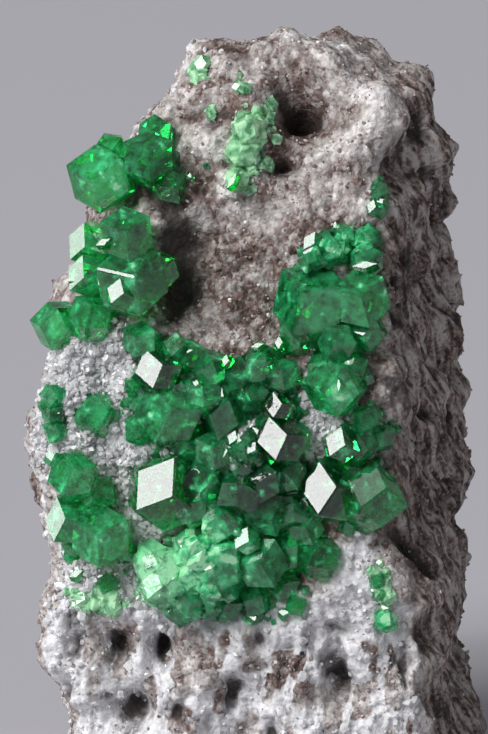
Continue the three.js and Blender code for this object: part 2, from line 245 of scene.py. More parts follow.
# Where fine white crystals lie in heaps.
WHITE_SUGAR = (
    Patch(-9.1, 24.1, 2.4, 1.8, 1.2), Patch(-9.0, 18.9, 2.8, 1.5, 1.4), Patch(-9.8, 20.8, 1.8, 1.4, 1.2),
    Patch(-6.6, 14.6, 1.3, 1.3), Patch(-6.4, 18.4, 1.6, 1.2),
    Patch(4.2, 21.1, 1.1, 1.8), Patch(0.2, 19.2, 1.2, 1.2), Patch(-7.7, 11.2, 2.4, 1.2, 0.5),
    Patch(-10.4, 12.0, 1.4, 1.6, 0.7),
)
# Where the foot is coated thickly, without heaps.
FROST = (
    Patch(6.6, 12.0, 1.8, 2.2), Patch(2.6, 9.6, 2.4, 1.0, 0.8), Patch(7.2, 9.4, 1.6, 1.8, 0.8),
    Patch(-8.0, 10.6, 2.6, 1.2, 0.6),
)
# The paler edges and ridges of the top.
PALE_RIDGE = (
    Patch(7.6, 40.2, 1.6, 1.0, 1.0), Patch(6.2, 38.4, 1.6, 0.8, 0.9), Patch(5.6, 42.0, 2.6, 1.6, 0.65),
    Patch(8.4, 37.0, 0.8, 2.6, 0.7), Patch(-4.0, 40.8, 1.6, 1.2, 0.45), Patch(0.9, 43.1, 0.8, 0.8, 1.1),
    Patch(-8.9, 30.9, 1.0, 3.0, 0.5), Patch(-0.6, 33.0, 2.2, 2.6, 0.25),
)
# Hollows of the front, and of the right side as seen from the front, sunk into the rock and given painted
# shade: dark painted into the pits, and a painted shadow beside the left crystals.
PAINTED_SHADE_HOLLOWS = (
    Patch(3.2, 39.6, 1.1, 1.0, 1.5), Patch(2.1, 36.4, 0.9, 0.45, 1.2), Patch(-4.0, 28.6, 1.2, 2.0, 1.2),
    Patch(-4.1, 31.4, 1.1, 1.6, 1.1), Patch(-4.6, 33.6, 0.8, 0.7, 0.7), Patch(-5.0, 36.2, 0.8, 1.6, 0.6),
    Patch(-1.8, 38.6, 0.5, 0.4, 0.6), Patch(-7.7, 6.9, 0.7, 1.3, 1.0),
    Patch(-5.0, 6.9, 0.4, 0.9, 0.9), Patch(-6.8, 2.9, 0.9, 0.8, 1.0), Patch(-4.0, 3.2, 0.6, 0.7, 0.9),
    Patch(5.9, 4.9, 0.7, 1.0, 1.0), Patch(0.8, 7.6, 0.8, 0.6, 0.7), Patch(5.6, 8.2, 1.0, 0.7, 0.6),
    Patch(1.6, 1.6, 0.4, 0.9, 0.7), Patch(-10.6, 4.6, 0.6, 0.6, 0.6), Patch(9.6, 36.0, 0.8, 2.2, 0.6),
)
# Hollows of the right side, sunk in and given painted shade.
SIDE_PAINTED_SHADE_HOLLOWS = (
    Patch(10.1, 29.9, 0.7, 1.6, 1.0), Patch(9.3, 26.6, 0.5, 2.0, 0.6), Patch(9.8, 12.4, 0.8, 2.4, 0.7),
    Patch(10.8, 7.6, 0.7, 1.8, 0.6), Patch(11.8, 19.6, 0.5, 1.8, 0.5),
)
# Where the bare rock is lighter, or darker if the amount is negative.
TONES = (
    Patch(-0.6, 29.4, 4.6, 5.0, -0.22), Patch(3.4, 38.6, 1.4, 1.6, -0.25),
    Patch(2.6, 35.6, 1.8, 1.4, -0.12), Patch(-5.2, 38.8, 2.4, 1.8, 0.12),
    Patch(5.8, 35.6, 2.0, 2.6, 0.2), Patch(6.8, 38.6, 1.6, 1.6, 0.2),
    Patch(-2.6, 40.0, 1.4, 0.8, -0.15), Patch(-0.2, 39.8, 1.4, 1.0, -0.05),
    Patch(-4.0, 34.4, 1.8, 1.4, -0.12),
)
# Where very small garnets stand: deep green, pale green, and over the larger crystals.
GREEN_DRUSE = (
    Patch(-1.5, 22.5, 5.0, 2.2, 1.0), Patch(0.5, 17.5, 4.6, 2.6, 1.2), Patch(-1.0, 11.5, 5.0, 2.4, 0.8),
    Patch(5.6, 26.8, 2.4, 3.0, 0.9), Patch(6.2, 31.2, 1.8, 0.7, 1.3), Patch(-11.4, 21.2, 0.5, 1.8, 0.9),
    Patch(7.6, 20.0, 1.4, 2.0, 0.9), Patch(-6.5, 31.0, 2.6, 2.6, 0.4), Patch(-5.2, 37.0, 1.8, 1.8, 0.5),
    Patch(8.2, 34.0, 0.5, 1.4, 0.8), Patch(-9.4, 15.0, 2.4, 2.4, 0.5),
)
PALE_DRUSE = (
    Patch(0.4, 37.4, 1.0, 1.8, 1.2), Patch(0.9, 38.8, 0.8, 0.8, 1.0), Patch(-2.6, 42.0, 0.5, 0.9, 1.0),
    Patch(-0.2, 41.4, 0.4, 0.8, 0.8), Patch(-1.9, 39.4, 0.7, 0.4, 1.0), Patch(-9.0, 10.0, 1.8, 0.8, 0.9),
    Patch(-8.0, 9.8, 0.8, 0.8, 0.6), Patch(8.3, 10.6, 0.5, 1.4, 1.3), Patch(-5.6, 11.0, 1.0, 1.4, 0.7),
    Patch(-2.0, 9.6, 1.8, 0.7, 0.8), Patch(0.0, 35.0, 0.6, 0.6, 0.8), Patch(-10.6, 12.6, 0.5, 0.8, 0.7),
)
LOW_OVERGROWTH = (
    Patch(-4.5, 11.6, 1.5, 1.8, 1.0), Patch(-2.9, 10.2, 1.6, 0.9, 0.9), Patch(-2.4, 13.7, 1.0, 0.7, 0.7),
    Patch(-2.6, 12.4, 1.2, 0.9, 0.5), Patch(-0.3, 13.9, 0.5, 0.6, 0.7),
)
HIGH_OVERGROWTH = (
    Patch(5.2, 31.2, 1.2, 0.7, 1.0), Patch(6.8, 32.0, 0.9, 0.8, 1.0), Patch(3.6, 30.5, 0.7, 0.8, 0.9),
)


# The form of the block


@dataclass(frozen=True)
class BlockForm:
    """The rock's form: stacked round-cornered slices between four upright corners, with relief.

    A corner lists [height, across, deep]. front_relief lists [across, up, radius, rise] as the
    viewer sees it, far_relief lists [across, deep, height, radius, rise].
    """

    height: float = 43.2
    summit_rise: float = 0.9
    squareness: float = 7.0
    streak_dip: float = math.radians(40.0)
    front_left: tuple = (
        (0, -10.7, -5.2), (4, -10.9, -5.6), (8, -12.1, -6.0), (11.5, -12.4, -6.2), (13.6, -11.3, -6.3),
        (17.6, -11.8, -6.5), (21, -12.5, -6.5), (24, -12.2, -6.3), (27.5, -11.2, -6.0), (32.3, -9.4, -5.2),
        (37.2, -7.0, -4.0), (40.3, -5.0, -2.4), (42, -3.6, -0.9), (43.2, -2.7, 0.6),
    )
    front_right: tuple = (
        (0, 12.0, -8.0), (6.3, 11.4, -8.2), (11.6, 10.4, -8.2), (16.1, 9.2, -8.0), (24, 8.8, -7.5),
        (33, 8.6, -6.8), (38, 8.9, -5.6), (40.5, 9.0, -4.2), (42, 8.2, -2.6), (43.2, 6.2, -0.8),
    )
    back_right: tuple = (
        (0, 13.8, 7.0), (9, 13.7, 7.4), (14, 13.4, 7.4), (19.7, 13.6, 7.2), (24, 12.8, 7.0),
        (27.4, 12.8, 6.8), (30.3, 13.9, 6.6), (34, 13.1, 6.2), (37, 12.4, 5.9), (39.6, 12.0, 5.6),
        (41.2, 11.2, 5.2), (42.3, 9.8, 4.9), (43.2, 8.3, 4.5),
    )
    back_left: tuple = (
        (0, -9.4, 7.4), (12, -10.6, 8.0), (24, -10.6, 7.6), (32, -8.8, 7.0), (38, -6.0, 6.2),
        (41, -4.0, 5.4), (43.2, -2.4, 4.6),
    )
    front_relief: tuple = (
        (3.2, 39.7, 1.2, -3.2), (4.9, 39.0, 1.9, -1.7), (2.2, 36.4, 0.8, -1.3), (-3.7, 28.6, 1.6, -1.7),
        (-3.3, 31.7, 1.3, -1.3), (-0.2, 30.4, 3.2, -0.9), (0.4, 7.0, 5.0, 0.8), (-11.8, 10.2, 1.3, 0.7),
        (-7.7, 6.7, 1.1, -1.8), (-5.0, 7.0, 0.8, -1.4), (-6.7, 3.2, 1.0, -1.5), (5.9, 4.6, 1.1, -1.7),
        (7.9, 39.6, 1.3, 0.7), (0.9, 43.0, 0.8, 1.0), (-2.0, 5.2, 1.4, 0.7), (2.4, 3.8, 1.2, 0.6),
        (0.2, 19.3, 1.1, 1.3),
    )
    far_relief: tuple = (
        (-0.6, 3.0, 43.6, 0.8, -0.8), (3.0, 4.0, 43.8, 1.0, 0.4), (6.8, 4.0, 43.6, 1.2, 0.3),
        (13.6, 6.8, 19.7, 1.1, 0.6), (11.4, 1.0, 29.5, 1.5, -1.3), (10.2, -3.4, 37.0, 1.6, -0.9),
        (12.0, 0.5, 12.5, 1.8, -1.1), (11.0, -2.5, 22.0, 1.7, -0.8), (12.6, 3.5, 5.0, 1.8, 0.8),
        (4.0, 7.4, 30.0, 3.4, 1.1), (-4.0, 8.0, 18.0, 4.0, 1.2), (6.5, 7.3, 12.0, 3.0, -1.2),
        (-3.0, 6.8, 34.0, 2.8, -1.1), (-10.8, 2.0, 27.0, 2.6, 0.9), (-11.0, 1.5, 12.0, 2.8, -1.0),
        (0.5, 7.6, 5.0, 2.6, 0.9), (9.5, 7.0, 22.5, 2.4, 0.8),
    )

    def on_slice(self, side: np.ndarray, deep: np.ndarray, height: np.ndarray) -> np.ndarray:
        """Points of the plain block: the four corners at that height, blended by their shares.

        Args:
            side: -1 at the left corners, 1 at the right ones.
            deep: -1 at the front corners, 1 at the back ones.
            height: the height of each point.

        Returns:
            The points. The corners' places are read between the listed heights.
        """
        right, back = (1 + side) / 2, (1 + deep) / 2
        shares = ((1 - back) * (1 - right), (1 - back) * right, back * right, back * (1 - right))
        corners = (self.front_left, self.front_right, self.back_right, self.back_left)
        total = np.zeros(np.shape(height) + (2,))
        for share, corner in zip(shares, corners):
            z, x, y = np.array(corner).T
            total += share[..., None] * np.stack([np.interp(height, z, x), np.interp(height, z, y)], -1)
        return np.concatenate([total, np.asarray(height)[..., None]], -1)

    def round_square(self, angle: np.ndarray) -> tuple[np.ndarray, np.ndarray]:
        """A square with round corners: (cos, sin) divided by (|cos|^n + |sin|^n)^(1/n).

        Args:
            angle: the directions from its middle, in radians.

        Returns:
            Side and deep at each, from -1 to 1.
        """
        c, s = np.cos(angle), np.sin(angle)
        size = (np.abs(c) ** self.squareness + np.abs(s) ** self.squareness) ** (1 / self.squareness)
        return c / size, s / size

    def on_front(self, across: float, height: float) -> np.ndarray:
        """A point of the plain front face, by six trials that each move side and deep closer.

        Args:
            across: its place across.
            height: its height.

        Returns:
            The point.
        """
        side, deep, z = 0.0, -1.0, np.array(height)
        for _ in range(6):
            left = self.on_slice(np.array(-1.0), np.array(deep), z)[0]
            right = self.on_slice(np.array(1.0), np.array(deep), z)[0]
            side = min(max(2 * (across - left) / (right - left) - 1, -0.97), 0.97)
            deep = -((1 - abs(side) ** self.squareness) ** (1 / self.squareness))
        return self.on_slice(np.array(side), np.array(deep), z)

    def seen(self, across: float, up: float) -> np.ndarray:
        """Where a line of sight meets the plain front face, by twelve trials of the height.

        Args:
            across: the line's place as seen.
            up: the line's place as seen.

        Returns:
            The point.
        """
        height = up
        for _ in range(12):
            point = self.on_front(across, min(max(height, 0.5), self.height))
            height = (up - point[1] * math.sin(SIGHT_TILT)) / math.cos(SIGHT_TILT)
        return np.array([across, point[1], height])

    def landmarks(self) -> list[tuple[np.ndarray, float, float]]:
        """The swellings and hollows, those of the front first.

        Returns:
            Each as (middle, radius, rise).
        """
        front = [(self.seen(a, u), radius, rise) for a, u, radius, rise in self.front_relief]
        far = [(np.array([x, y, z]), radius, rise) for x, y, z, radius, rise in self.far_relief]
        return front + far

    def streaks(self, points: np.ndarray) -> np.ndarray:
        """Long lumps that slant down towards the back, as on the weathered right side.

        Args:
            points: places on the plain block.

        Returns:
            The lumps from -1 to 1, 4 mm wide along X, 1.7 mm across the slant and 7 mm along it.
        """
        x, y, z = points.T
        dip_sin, dip_cos = math.sin(self.streak_dip), math.cos(self.streak_dip)
        slanted = np.stack([x / 4, (y * dip_sin + z * dip_cos) / 1.7, (y * dip_cos - z * dip_sin) / 7], 1)
        return lumps(slanted, 1.0)

    def roughness(self, points: np.ndarray, out: np.ndarray) -> np.ndarray:
        """How far the rough surface stands out of the plain block.

        Args:
            points: places on the plain block.
            out: the outward direction at each.

        Returns:
            Lumps of three sizes, streaks where the surface looks right, and the landmarks, each
            rise * exp(-(distance / radius)^2).
        """
        rise = 0.85 * lumps(points, 6.3) + 0.65 * lumps(points, 3.1) + 0.6 * packed_grains(points, 2.7)[0]
        rise += 0.75 * np.maximum(0, out[:, 0]) ** 2 * self.streaks(points)
        for middle, radius, height in self.landmarks():
            rise += height * np.exp(-np.sum((points - middle) ** 2, axis=1) / radius**2)
        return rise


# Node trees


class CellValue(Enum):
    """What packed cells tell about a place: how far its cell's middle is, or its cell's random colour."""

    DISTANCE = "Distance"
    COLOUR = "Color"


class Recipe:
    """A material under construction, with short calls for the nodes used here."""

    def __init__(self, name: str) -> None:
        """Starts a node tree with its output, the object's own coordinates and the place as seen.

        Args:
            name: the material's name.
        """
        self.material = bpy.data.materials.new(name)
        self.material.use_nodes = True
        self.tree = self.material.node_tree
        self.tree.nodes.clear()
        self.output = self.tree.nodes.new("ShaderNodeOutputMaterial")
        self.place = self.tree.nodes.new("ShaderNodeTexCoord").outputs["Object"]
        up = (0.0, math.sin(SIGHT_TILT), math.cos(SIGHT_TILT))
        height = self.along(self.place, up)
        across = self.node("ShaderNodeSeparateXYZ", {"Vector": self.place}).outputs["X"]
        self.seen = self.node("ShaderNodeCombineXYZ", {"X": across, "Y": height}).outputs["Vector"]

    def along(self, place: Socket, axis: tuple[float, float, float]) -> Socket:
        """How far a place lies along an axis: their dot product."""
        made = self.node("ShaderNodeVectorMath", {0: place, 1: axis}, operation="DOT_PRODUCT")
        return made.outputs["Value"]

    def node(self, kind: str, inputs: dict, **settings: object) -> bpy.types.Node:
        """Adds a node.

        Args:
            kind: its type.
            inputs: a value or a socket for each input, by name or number.
            **settings: its own properties.

        Returns:
            The node.
        """
        made = self.tree.nodes.new(kind)
        for key, value in settings.items():
            setattr(made, key, value)
        for key, value in inputs.items():
            if isinstance(value, Socket):
                self.tree.links.new(value, made.inputs[key])
            else:
                made.inputs[key].default_value = value
        return made

    def noise(
        self, width: float, detail: float = 3.0, warp: float = 0.0, place: Socket | None = None
    ) -> Socket:
        """Cloudy noise from 0 to 1.

        Args:
            width: the width of a cloud in millimetres.
            detail: how many times finer clouds of half the width are added.
            warp: how much the clouds are bent.
            place: where it is read, instead of the object's own coordinates.

        Returns:
            The noise.
        """
        inputs = {"Vector": place or self.place, "Scale": 1 / (width * MM)}
        inputs |= {"Detail": detail, "Distortion": warp}
        return self.node("ShaderNodeTexNoise", inputs).outputs["Fac"]

    def shifted(self, place: Socket, width: float, reach: float) -> Socket:
        """Places moved about: place + reach * (noise - 0.5) on each axis.

        Args:
            place: the places.
            width: the width of the noise in millimetres.
            reach: twice the farthest that a place moves, in millimetres.

        Returns:
            The moved places.
        """
        wave = self.node("ShaderNodeTexNoise", {"Vector": place, "Scale": 1 / (width * MM), "Detail": 2.0})
        middle = {0: wave.outputs["Color"], 1: (0.5, 0.5, 0.5)}
        centred = self.node("ShaderNodeVectorMath", middle, operation="SUBTRACT")
        inputs = {0: centred.outputs["Vector"], 1: (reach * MM,) * 3, 2: place}
        return self.node("ShaderNodeVectorMath", inputs, operation="MULTIPLY_ADD").outputs["Vector"]

    def streaked(self) -> Socket:
        """Places for the right side's streaks.

        Returns:
            The object's own places, made wavy, along the streaks' axes and squeezed by FIBRE_SQUEEZE.
        """
        place = self.shifted(self.place, 2.2, 0.4)
        axes = fibre_axes() * np.array(FIBRE_SQUEEZE)[:, None]
        inputs = {name: self.along(place, tuple(axis)) for name, axis in zip("XYZ", axes)}
        return self.node("ShaderNodeCombineXYZ", inputs).outputs["Vector"]

    def cells(self, width: float, value: CellValue, place: Socket) -> Socket:
        """Packed cells of one width in millimetres: what the value names, at a place."""
        made = self.node("ShaderNodeTexVoronoi", {"Vector": place, "Scale": 1 / (width * MM)})
        return made.outputs[value.value]

    def attribute(self, name: str) -> Socket:
        """A number stored on the piece's vertices."""
        return self.node("ShaderNodeAttribute", {}, attribute_name=name).outputs["Fac"]

    def maths(self, operation: str, first: object, second: object = 0.0) -> Socket:
        """The result of one operation on two numbers."""
        return self.node("ShaderNodeMath", {0: first, 1: second}, operation=operation).outputs[0]

    def span(
        self, value: Socket, low: float, high: float, start: float = 0.0, end: float = 1.0
    ) -> Socket:
        """Maps low..high onto start..end, held at both ends."""
        inputs = {"Value": value, "From Min": low, "From Max": high, "To Min": start, "To Max": end}
        return self.node("ShaderNodeMapRange", inputs).outputs[0]

    def blend(self, share: Socket | float, first: object, second: object) -> Socket:
        """Mixes two colours by a share."""
        inputs = {0: share, 6: opaque(first), 7: opaque(second)}
        return self.node("ShaderNodeMix", inputs, data_type="RGBA").outputs[2]

    def ramp(self, value: Socket, stops: tuple[tuple[float, Colour], ...]) -> Socket:
        """Colours for a value.

        Args:
            value: a number from 0 to 1.
            stops: pairs of (value, colour), in rising order.

        Returns:
            The colour, blended between the two nearest stops.
        """
        made = self.node("ShaderNodeValToRGB", {"Fac": value})
        elements = made.color_ramp.elements
        while len(elements) < len(stops):
            elements.new(0.5)
        for element, (position, colour) in zip(elements, stops):
            element.position = position
            element.color = opaque(colour)
        return made.outputs["Color"]

    def bump(self, height: Socket, depth: float, strength: float, below: Socket | None = None) -> Socket:
        """Relief that is only felt by the light.

        Args:
            height: its height from 0 to 1.
            depth: what a height of 1 is, in millimetres.
            strength: its share from 0 to 1.
            below: another relief that it lies on.

        Returns:
            The bent directions.
        """
        inputs = {"Height": height, "Distance": depth * MM, "Strength": strength}
        if below is not None:
            inputs["Normal"] = below
        return self.node("ShaderNodeBump", inputs).outputs["Normal"]

    def seen_spot(self, across: float, up: float, inner: float, outer: float, amount: float) -> Socket:
        """A soft round spot on the front.

        Args:
            across: its place as seen.
            up: its place as seen.
            inner: the radius within which it is full.
            outer: the radius at which it ends.
            amount: its full value.

        Returns:
            The value.
        """
        inputs = {0: self.seen, 1: (across * MM, up * MM, 0.0)}
        distance = self.node("ShaderNodeVectorMath", inputs, operation="DISTANCE").outputs["Value"]
        return self.span(distance, inner * MM, outer * MM, amount, 0.0)

    def surface(self, inputs: dict) -> None:
        """Ends the tree in one Principled shader."""
        shader = self.node("ShaderNodeBsdfPrincipled", inputs)
        self.tree.links.new(shader.outputs["BSDF"], self.output.inputs["Surface"])

    def absorb(self, colour: Colour, density: float) -> None:
        """Fills the body with plain absorption."""
        inside = self.node("ShaderNodeVolumeAbsorption", {"Color": opaque(colour), "Density": density})
        self.tree.links.new(inside.outputs["Volume"], self.output.inputs["Volume"])


def opaque(colour: object) -> object:
    """A colour of three numbers gets an alpha of 1; a socket stays as it is."""
    return (*colour, 1.0) if isinstance(colour, tuple) and len(colour) == 3 else colour


# Finishes


@dataclass(frozen=True)
class RockFinish:
    """Granular rock: mauve-brown and grey grains, a white crust, dark joints, and painted shade in hollows.
    """

    name: str = "granular_rock"
    dark: Colour = (0.040, 0.030, 0.027)
    brown: Colour = (0.165, 0.105, 0.090)
    umber: Colour = (0.310, 0.245, 0.212)
    drab: Colour = (0.440, 0.400, 0.370)
    mauve: Colour = (0.300, 0.252, 0.240)
    grey: Colour = (0.440, 0.422, 0.410)
    pink: Colour = (0.610, 0.560, 0.540)
    white: Colour = (0.820, 0.800, 0.790)
    crust_low: Colour = (0.600, 0.585, 0.600)
    crust_high: Colour = (0.930, 0.930, 0.950)
    grain: float = 0.42
    crumb: float = 0.20

    def material(self) -> bpy.types.Material:
        """Grains, crust, painted shade in hollows and side streaks by the piece's attributes, frayed by
        fine noise.

        Returns:
            The material. Each grain's tone is the tone attribute + 0.4 of its own random value +
            0.3 of its crumbs', both centred. The crust, the streaks, and the dark of the joints with the
            painted shade of pits and hollows are laid over it in turn.
        """
        r = Recipe(self.name)
        warped = r.shifted(r.place, 0.35, 0.3)
        grain = r.node("ShaderNodeSeparateColor", {"Color": r.cells(self.grain, CellValue.COLOUR, warped)})
        crumb = r.node("ShaderNodeSeparateColor", {"Color": r.cells(self.crumb, CellValue.COLOUR, warped)})
        apart = r.cells(self.grain, CellValue.DISTANCE, warped)
        coarse_share = r.maths("MULTIPLY", grain.outputs[0], 0.40)
        own = r.maths("ADD", coarse_share, r.maths("MULTIPLY", crumb.outputs[0], 0.30))
        value = r.maths("ADD", r.attribute("tone"), r.span(own, 0.0, 0.70, -0.38, 0.38))
        tones = (self.dark, self.brown, self.mauve, self.grey, self.pink, self.white)
        grains = r.ramp(value, tuple(zip((0.0, 0.18, 0.36, 0.55, 0.75, 1.0), tones)))
        joints = r.span(apart, 0.3, 0.75, 0.0, 0.35)
        grains = r.blend(joints, grains, self.brown)
        coat = r.maths("ADD", r.attribute("crust"), r.span(r.noise(0.8, 4.0), 0.3, 0.7, -0.3, 0.3))
        frost = r.blend(r.span(r.noise(0.45, 3.0, 0.4), 0.35, 0.68), self.crust_low, self.crust_high)
        colour = r.blend(r.span(coat, 0.32, 0.66), grains, frost)
        side = r.attribute("side")
        streak = r.noise(0.42, 4.0, 0.0, r.streaked())
        tones = (self.dark, self.brown, self.umber, self.drab, self.pink)
        speckled = r.maths("ADD", streak, r.span(crumb.outputs[0], 0.0, 1.0, -0.06, 0.06))
        fibres = r.ramp(speckled, tuple(zip((0.38, 0.44, 0.50, 0.56, 0.64), tones)))
        colour = r.blend(r.maths("MULTIPLY", side, 0.9), colour, fibres)
        # Painted shade: the dark joints and the painted shade of pits, gashes and hollows blend the colour
        # towards dark.
        shade = r.maths("ADD", r.attribute("joints_and_shade"), r.span(r.noise(0.6, 3.0), 0.3, 0.7, -0.2, 0.2))
        colour = r.blend(r.span(shade, 0.4, 1.0, 0.0, 0.94), colour, self.dark)
        relief = r.bump(apart, -0.10, 0.7)
        relief = r.bump(r.noise(0.24, 3.0), 0.16, 0.8, relief)
        relief = r.bump(r.maths("MULTIPLY", streak, side), 0.3, 0.7, relief)
        gloss = r.span(crumb.outputs[1], 0.0, 1.0, 0.3, 0.95)
        r.surface({"Base Color": colour, "Roughness": gloss, "Specular IOR Level": 0.35, "Normal": relief})
        return r.material


@dataclass(frozen=True)
class GrainFinish:
    """Small crystal grains of one kind, each with its own tone and gloss."""

    name: str
    tones: tuple[Colour, ...]
    roughness: tuple[float, float] = (0.12, 0.5)
    refraction: float = 1.6
    transmission: float = 0.0

    def material(self) -> bpy.types.Material:
        """The grain's own random value picks its tone; fine noise clouds it.

        Returns:
            The material. Its tones are evenly spaced, and the noise moves the value by up to 0.12.
        """
        r = Recipe(self.name)
        own = r.attribute("tone")
        steps = len(self.tones) - 1
        stops = tuple((index / steps, tone) for index, tone in enumerate(self.tones))
        clouds = r.span(r.noise(0.25, 3.0), 0.3, 0.7, -0.12, 0.12)
        colour = r.ramp(r.maths("ADD", own, clouds), stops)
        gloss = r.span(r.noise(0.4, 2.0), 0.3, 0.7, *self.roughness)
        relief = r.bump(r.noise(0.08, 2.0), 0.02, 0.4)
        r.surface(
            {
                "Base Color": colour,
                "Roughness": gloss,
                "IOR": self.refraction,
                "Transmission Weight": self.transmission,
                "Normal": relief,
            }
        )
        return r.material


@dataclass(frozen=True)
class Glow:
    """A round place on the front, as seen, where garnets scatter more light, or less if amount < 0."""

    across: float
    up: float
    inner: float
    outer: float
    amount: float


# Painted internal highlights where the larger crystals are lit up inside, and painted shade, for negative
# amounts, where they are dark.
PAINTED_GLOWS_AND_SHADE = (
    Glow(-8.2, 35.7, 0.4, 2.0, 1.8), Glow(-4.8, 35.2, 0.6, 2.0, -0.5), Glow(-6.0, 30.2, 0.8, 2.6, -0.4),
    Glow(-3.0, 17.6, 0.3, 1.2, -0.3), Glow(-11.6, 26.6, 0.2, 1.0, 1.2), Glow(-5.5, 25.8, 0.1, 0.7, 3.0),
    Glow(-4.6, 21.2, 0.6, 2.0, 0.7), Glow(-1.0, 20.6, 0.8, 2.0, -0.45), Glow(2.0, 20.8, 1.0, 2.4, -0.5),
    Glow(5.9, 22.2, 0.5, 1.7, 2.4), Glow(5.6, 22.9, 0.1, 0.6, 1.5), Glow(5.4, 28.0, 0.8, 2.8, 0.4),
    Glow(6.6, 31.4, 0.5, 1.6, 1.8), Glow(5.1, 31.0, 0.3, 1.0, 1.6), Glow(-9.6, 15.8, 0.3, 1.0, 0.6),
    Glow(-8.4, 13.6, 0.2, 0.8, 1.6), Glow(-8.9, 21.2, 0.5, 1.5, 0.7), Glow(-10.0, 17.0, 0.8, 2.0, 0.35),
    Glow(-8.4, 13.8, 0.6, 2.0, 0.35),
    Glow(0.6, 16.6, 1.0, 2.8, -0.65), Glow(7.6, 15.6, 0.6, 1.8, -0.4), Glow(5.0, 11.6, 0.8, 2.4, -0.7),
    Glow(1.2, 13.4, 0.4, 1.3, 0.9), Glow(1.7, 14.6, 0.2, 0.8, 1.4), Glow(-4.6, 12.0, 1.4, 3.0, 0.6),
    Glow(-1.8, 12.6, 1.2, 3.0, 2.8),
    Glow(-2.6, 14.2, 0.2, 0.8, 2.0), Glow(-7.1, 14.4, 0.2, 0.7, 4.0), Glow(-9.4, 15.9, 0.1, 0.5, 3.5),
    Glow(-2.7, 21.9, 0.2, 0.8, 1.2), Glow(-7.3, 34.7, 0.3, 0.9, 1.5), Glow(-6.6, 30.2, 0.1, 0.6, 1.5),
    Glow(8.7, 8.8, 0.4, 1.1, 4.5), Glow(-2.4, 27.6, 0.3, 1.2, -0.4),
)
# Where they are cloudy and pale.
MILK = (
    Glow(-5.4, 11.6, 1.0, 2.8, 0.8), Glow(-4.0, 10.8, 0.6, 2.0, 0.5), Glow(-3.4, 13.2, 0.6, 1.8, 0.2),
)
# The crystals with large white faces, which are clearer than the rest.
CLEAR = (
    Glow(-4.9, 16.8, 1.6, 2.4, -0.85), Glow(5.0, 16.5, 1.3, 2.0, -0.85), Glow(2.1, 19.5, 1.0, 1.6, -0.85),
    Glow(-5.4, 23.7, 0.9, 1.5, -0.85), Glow(5.8, 19.4, 0.7, 1.2, -0.85), Glow(2.0, 21.6, 0.6, 1.0, -0.85),
)


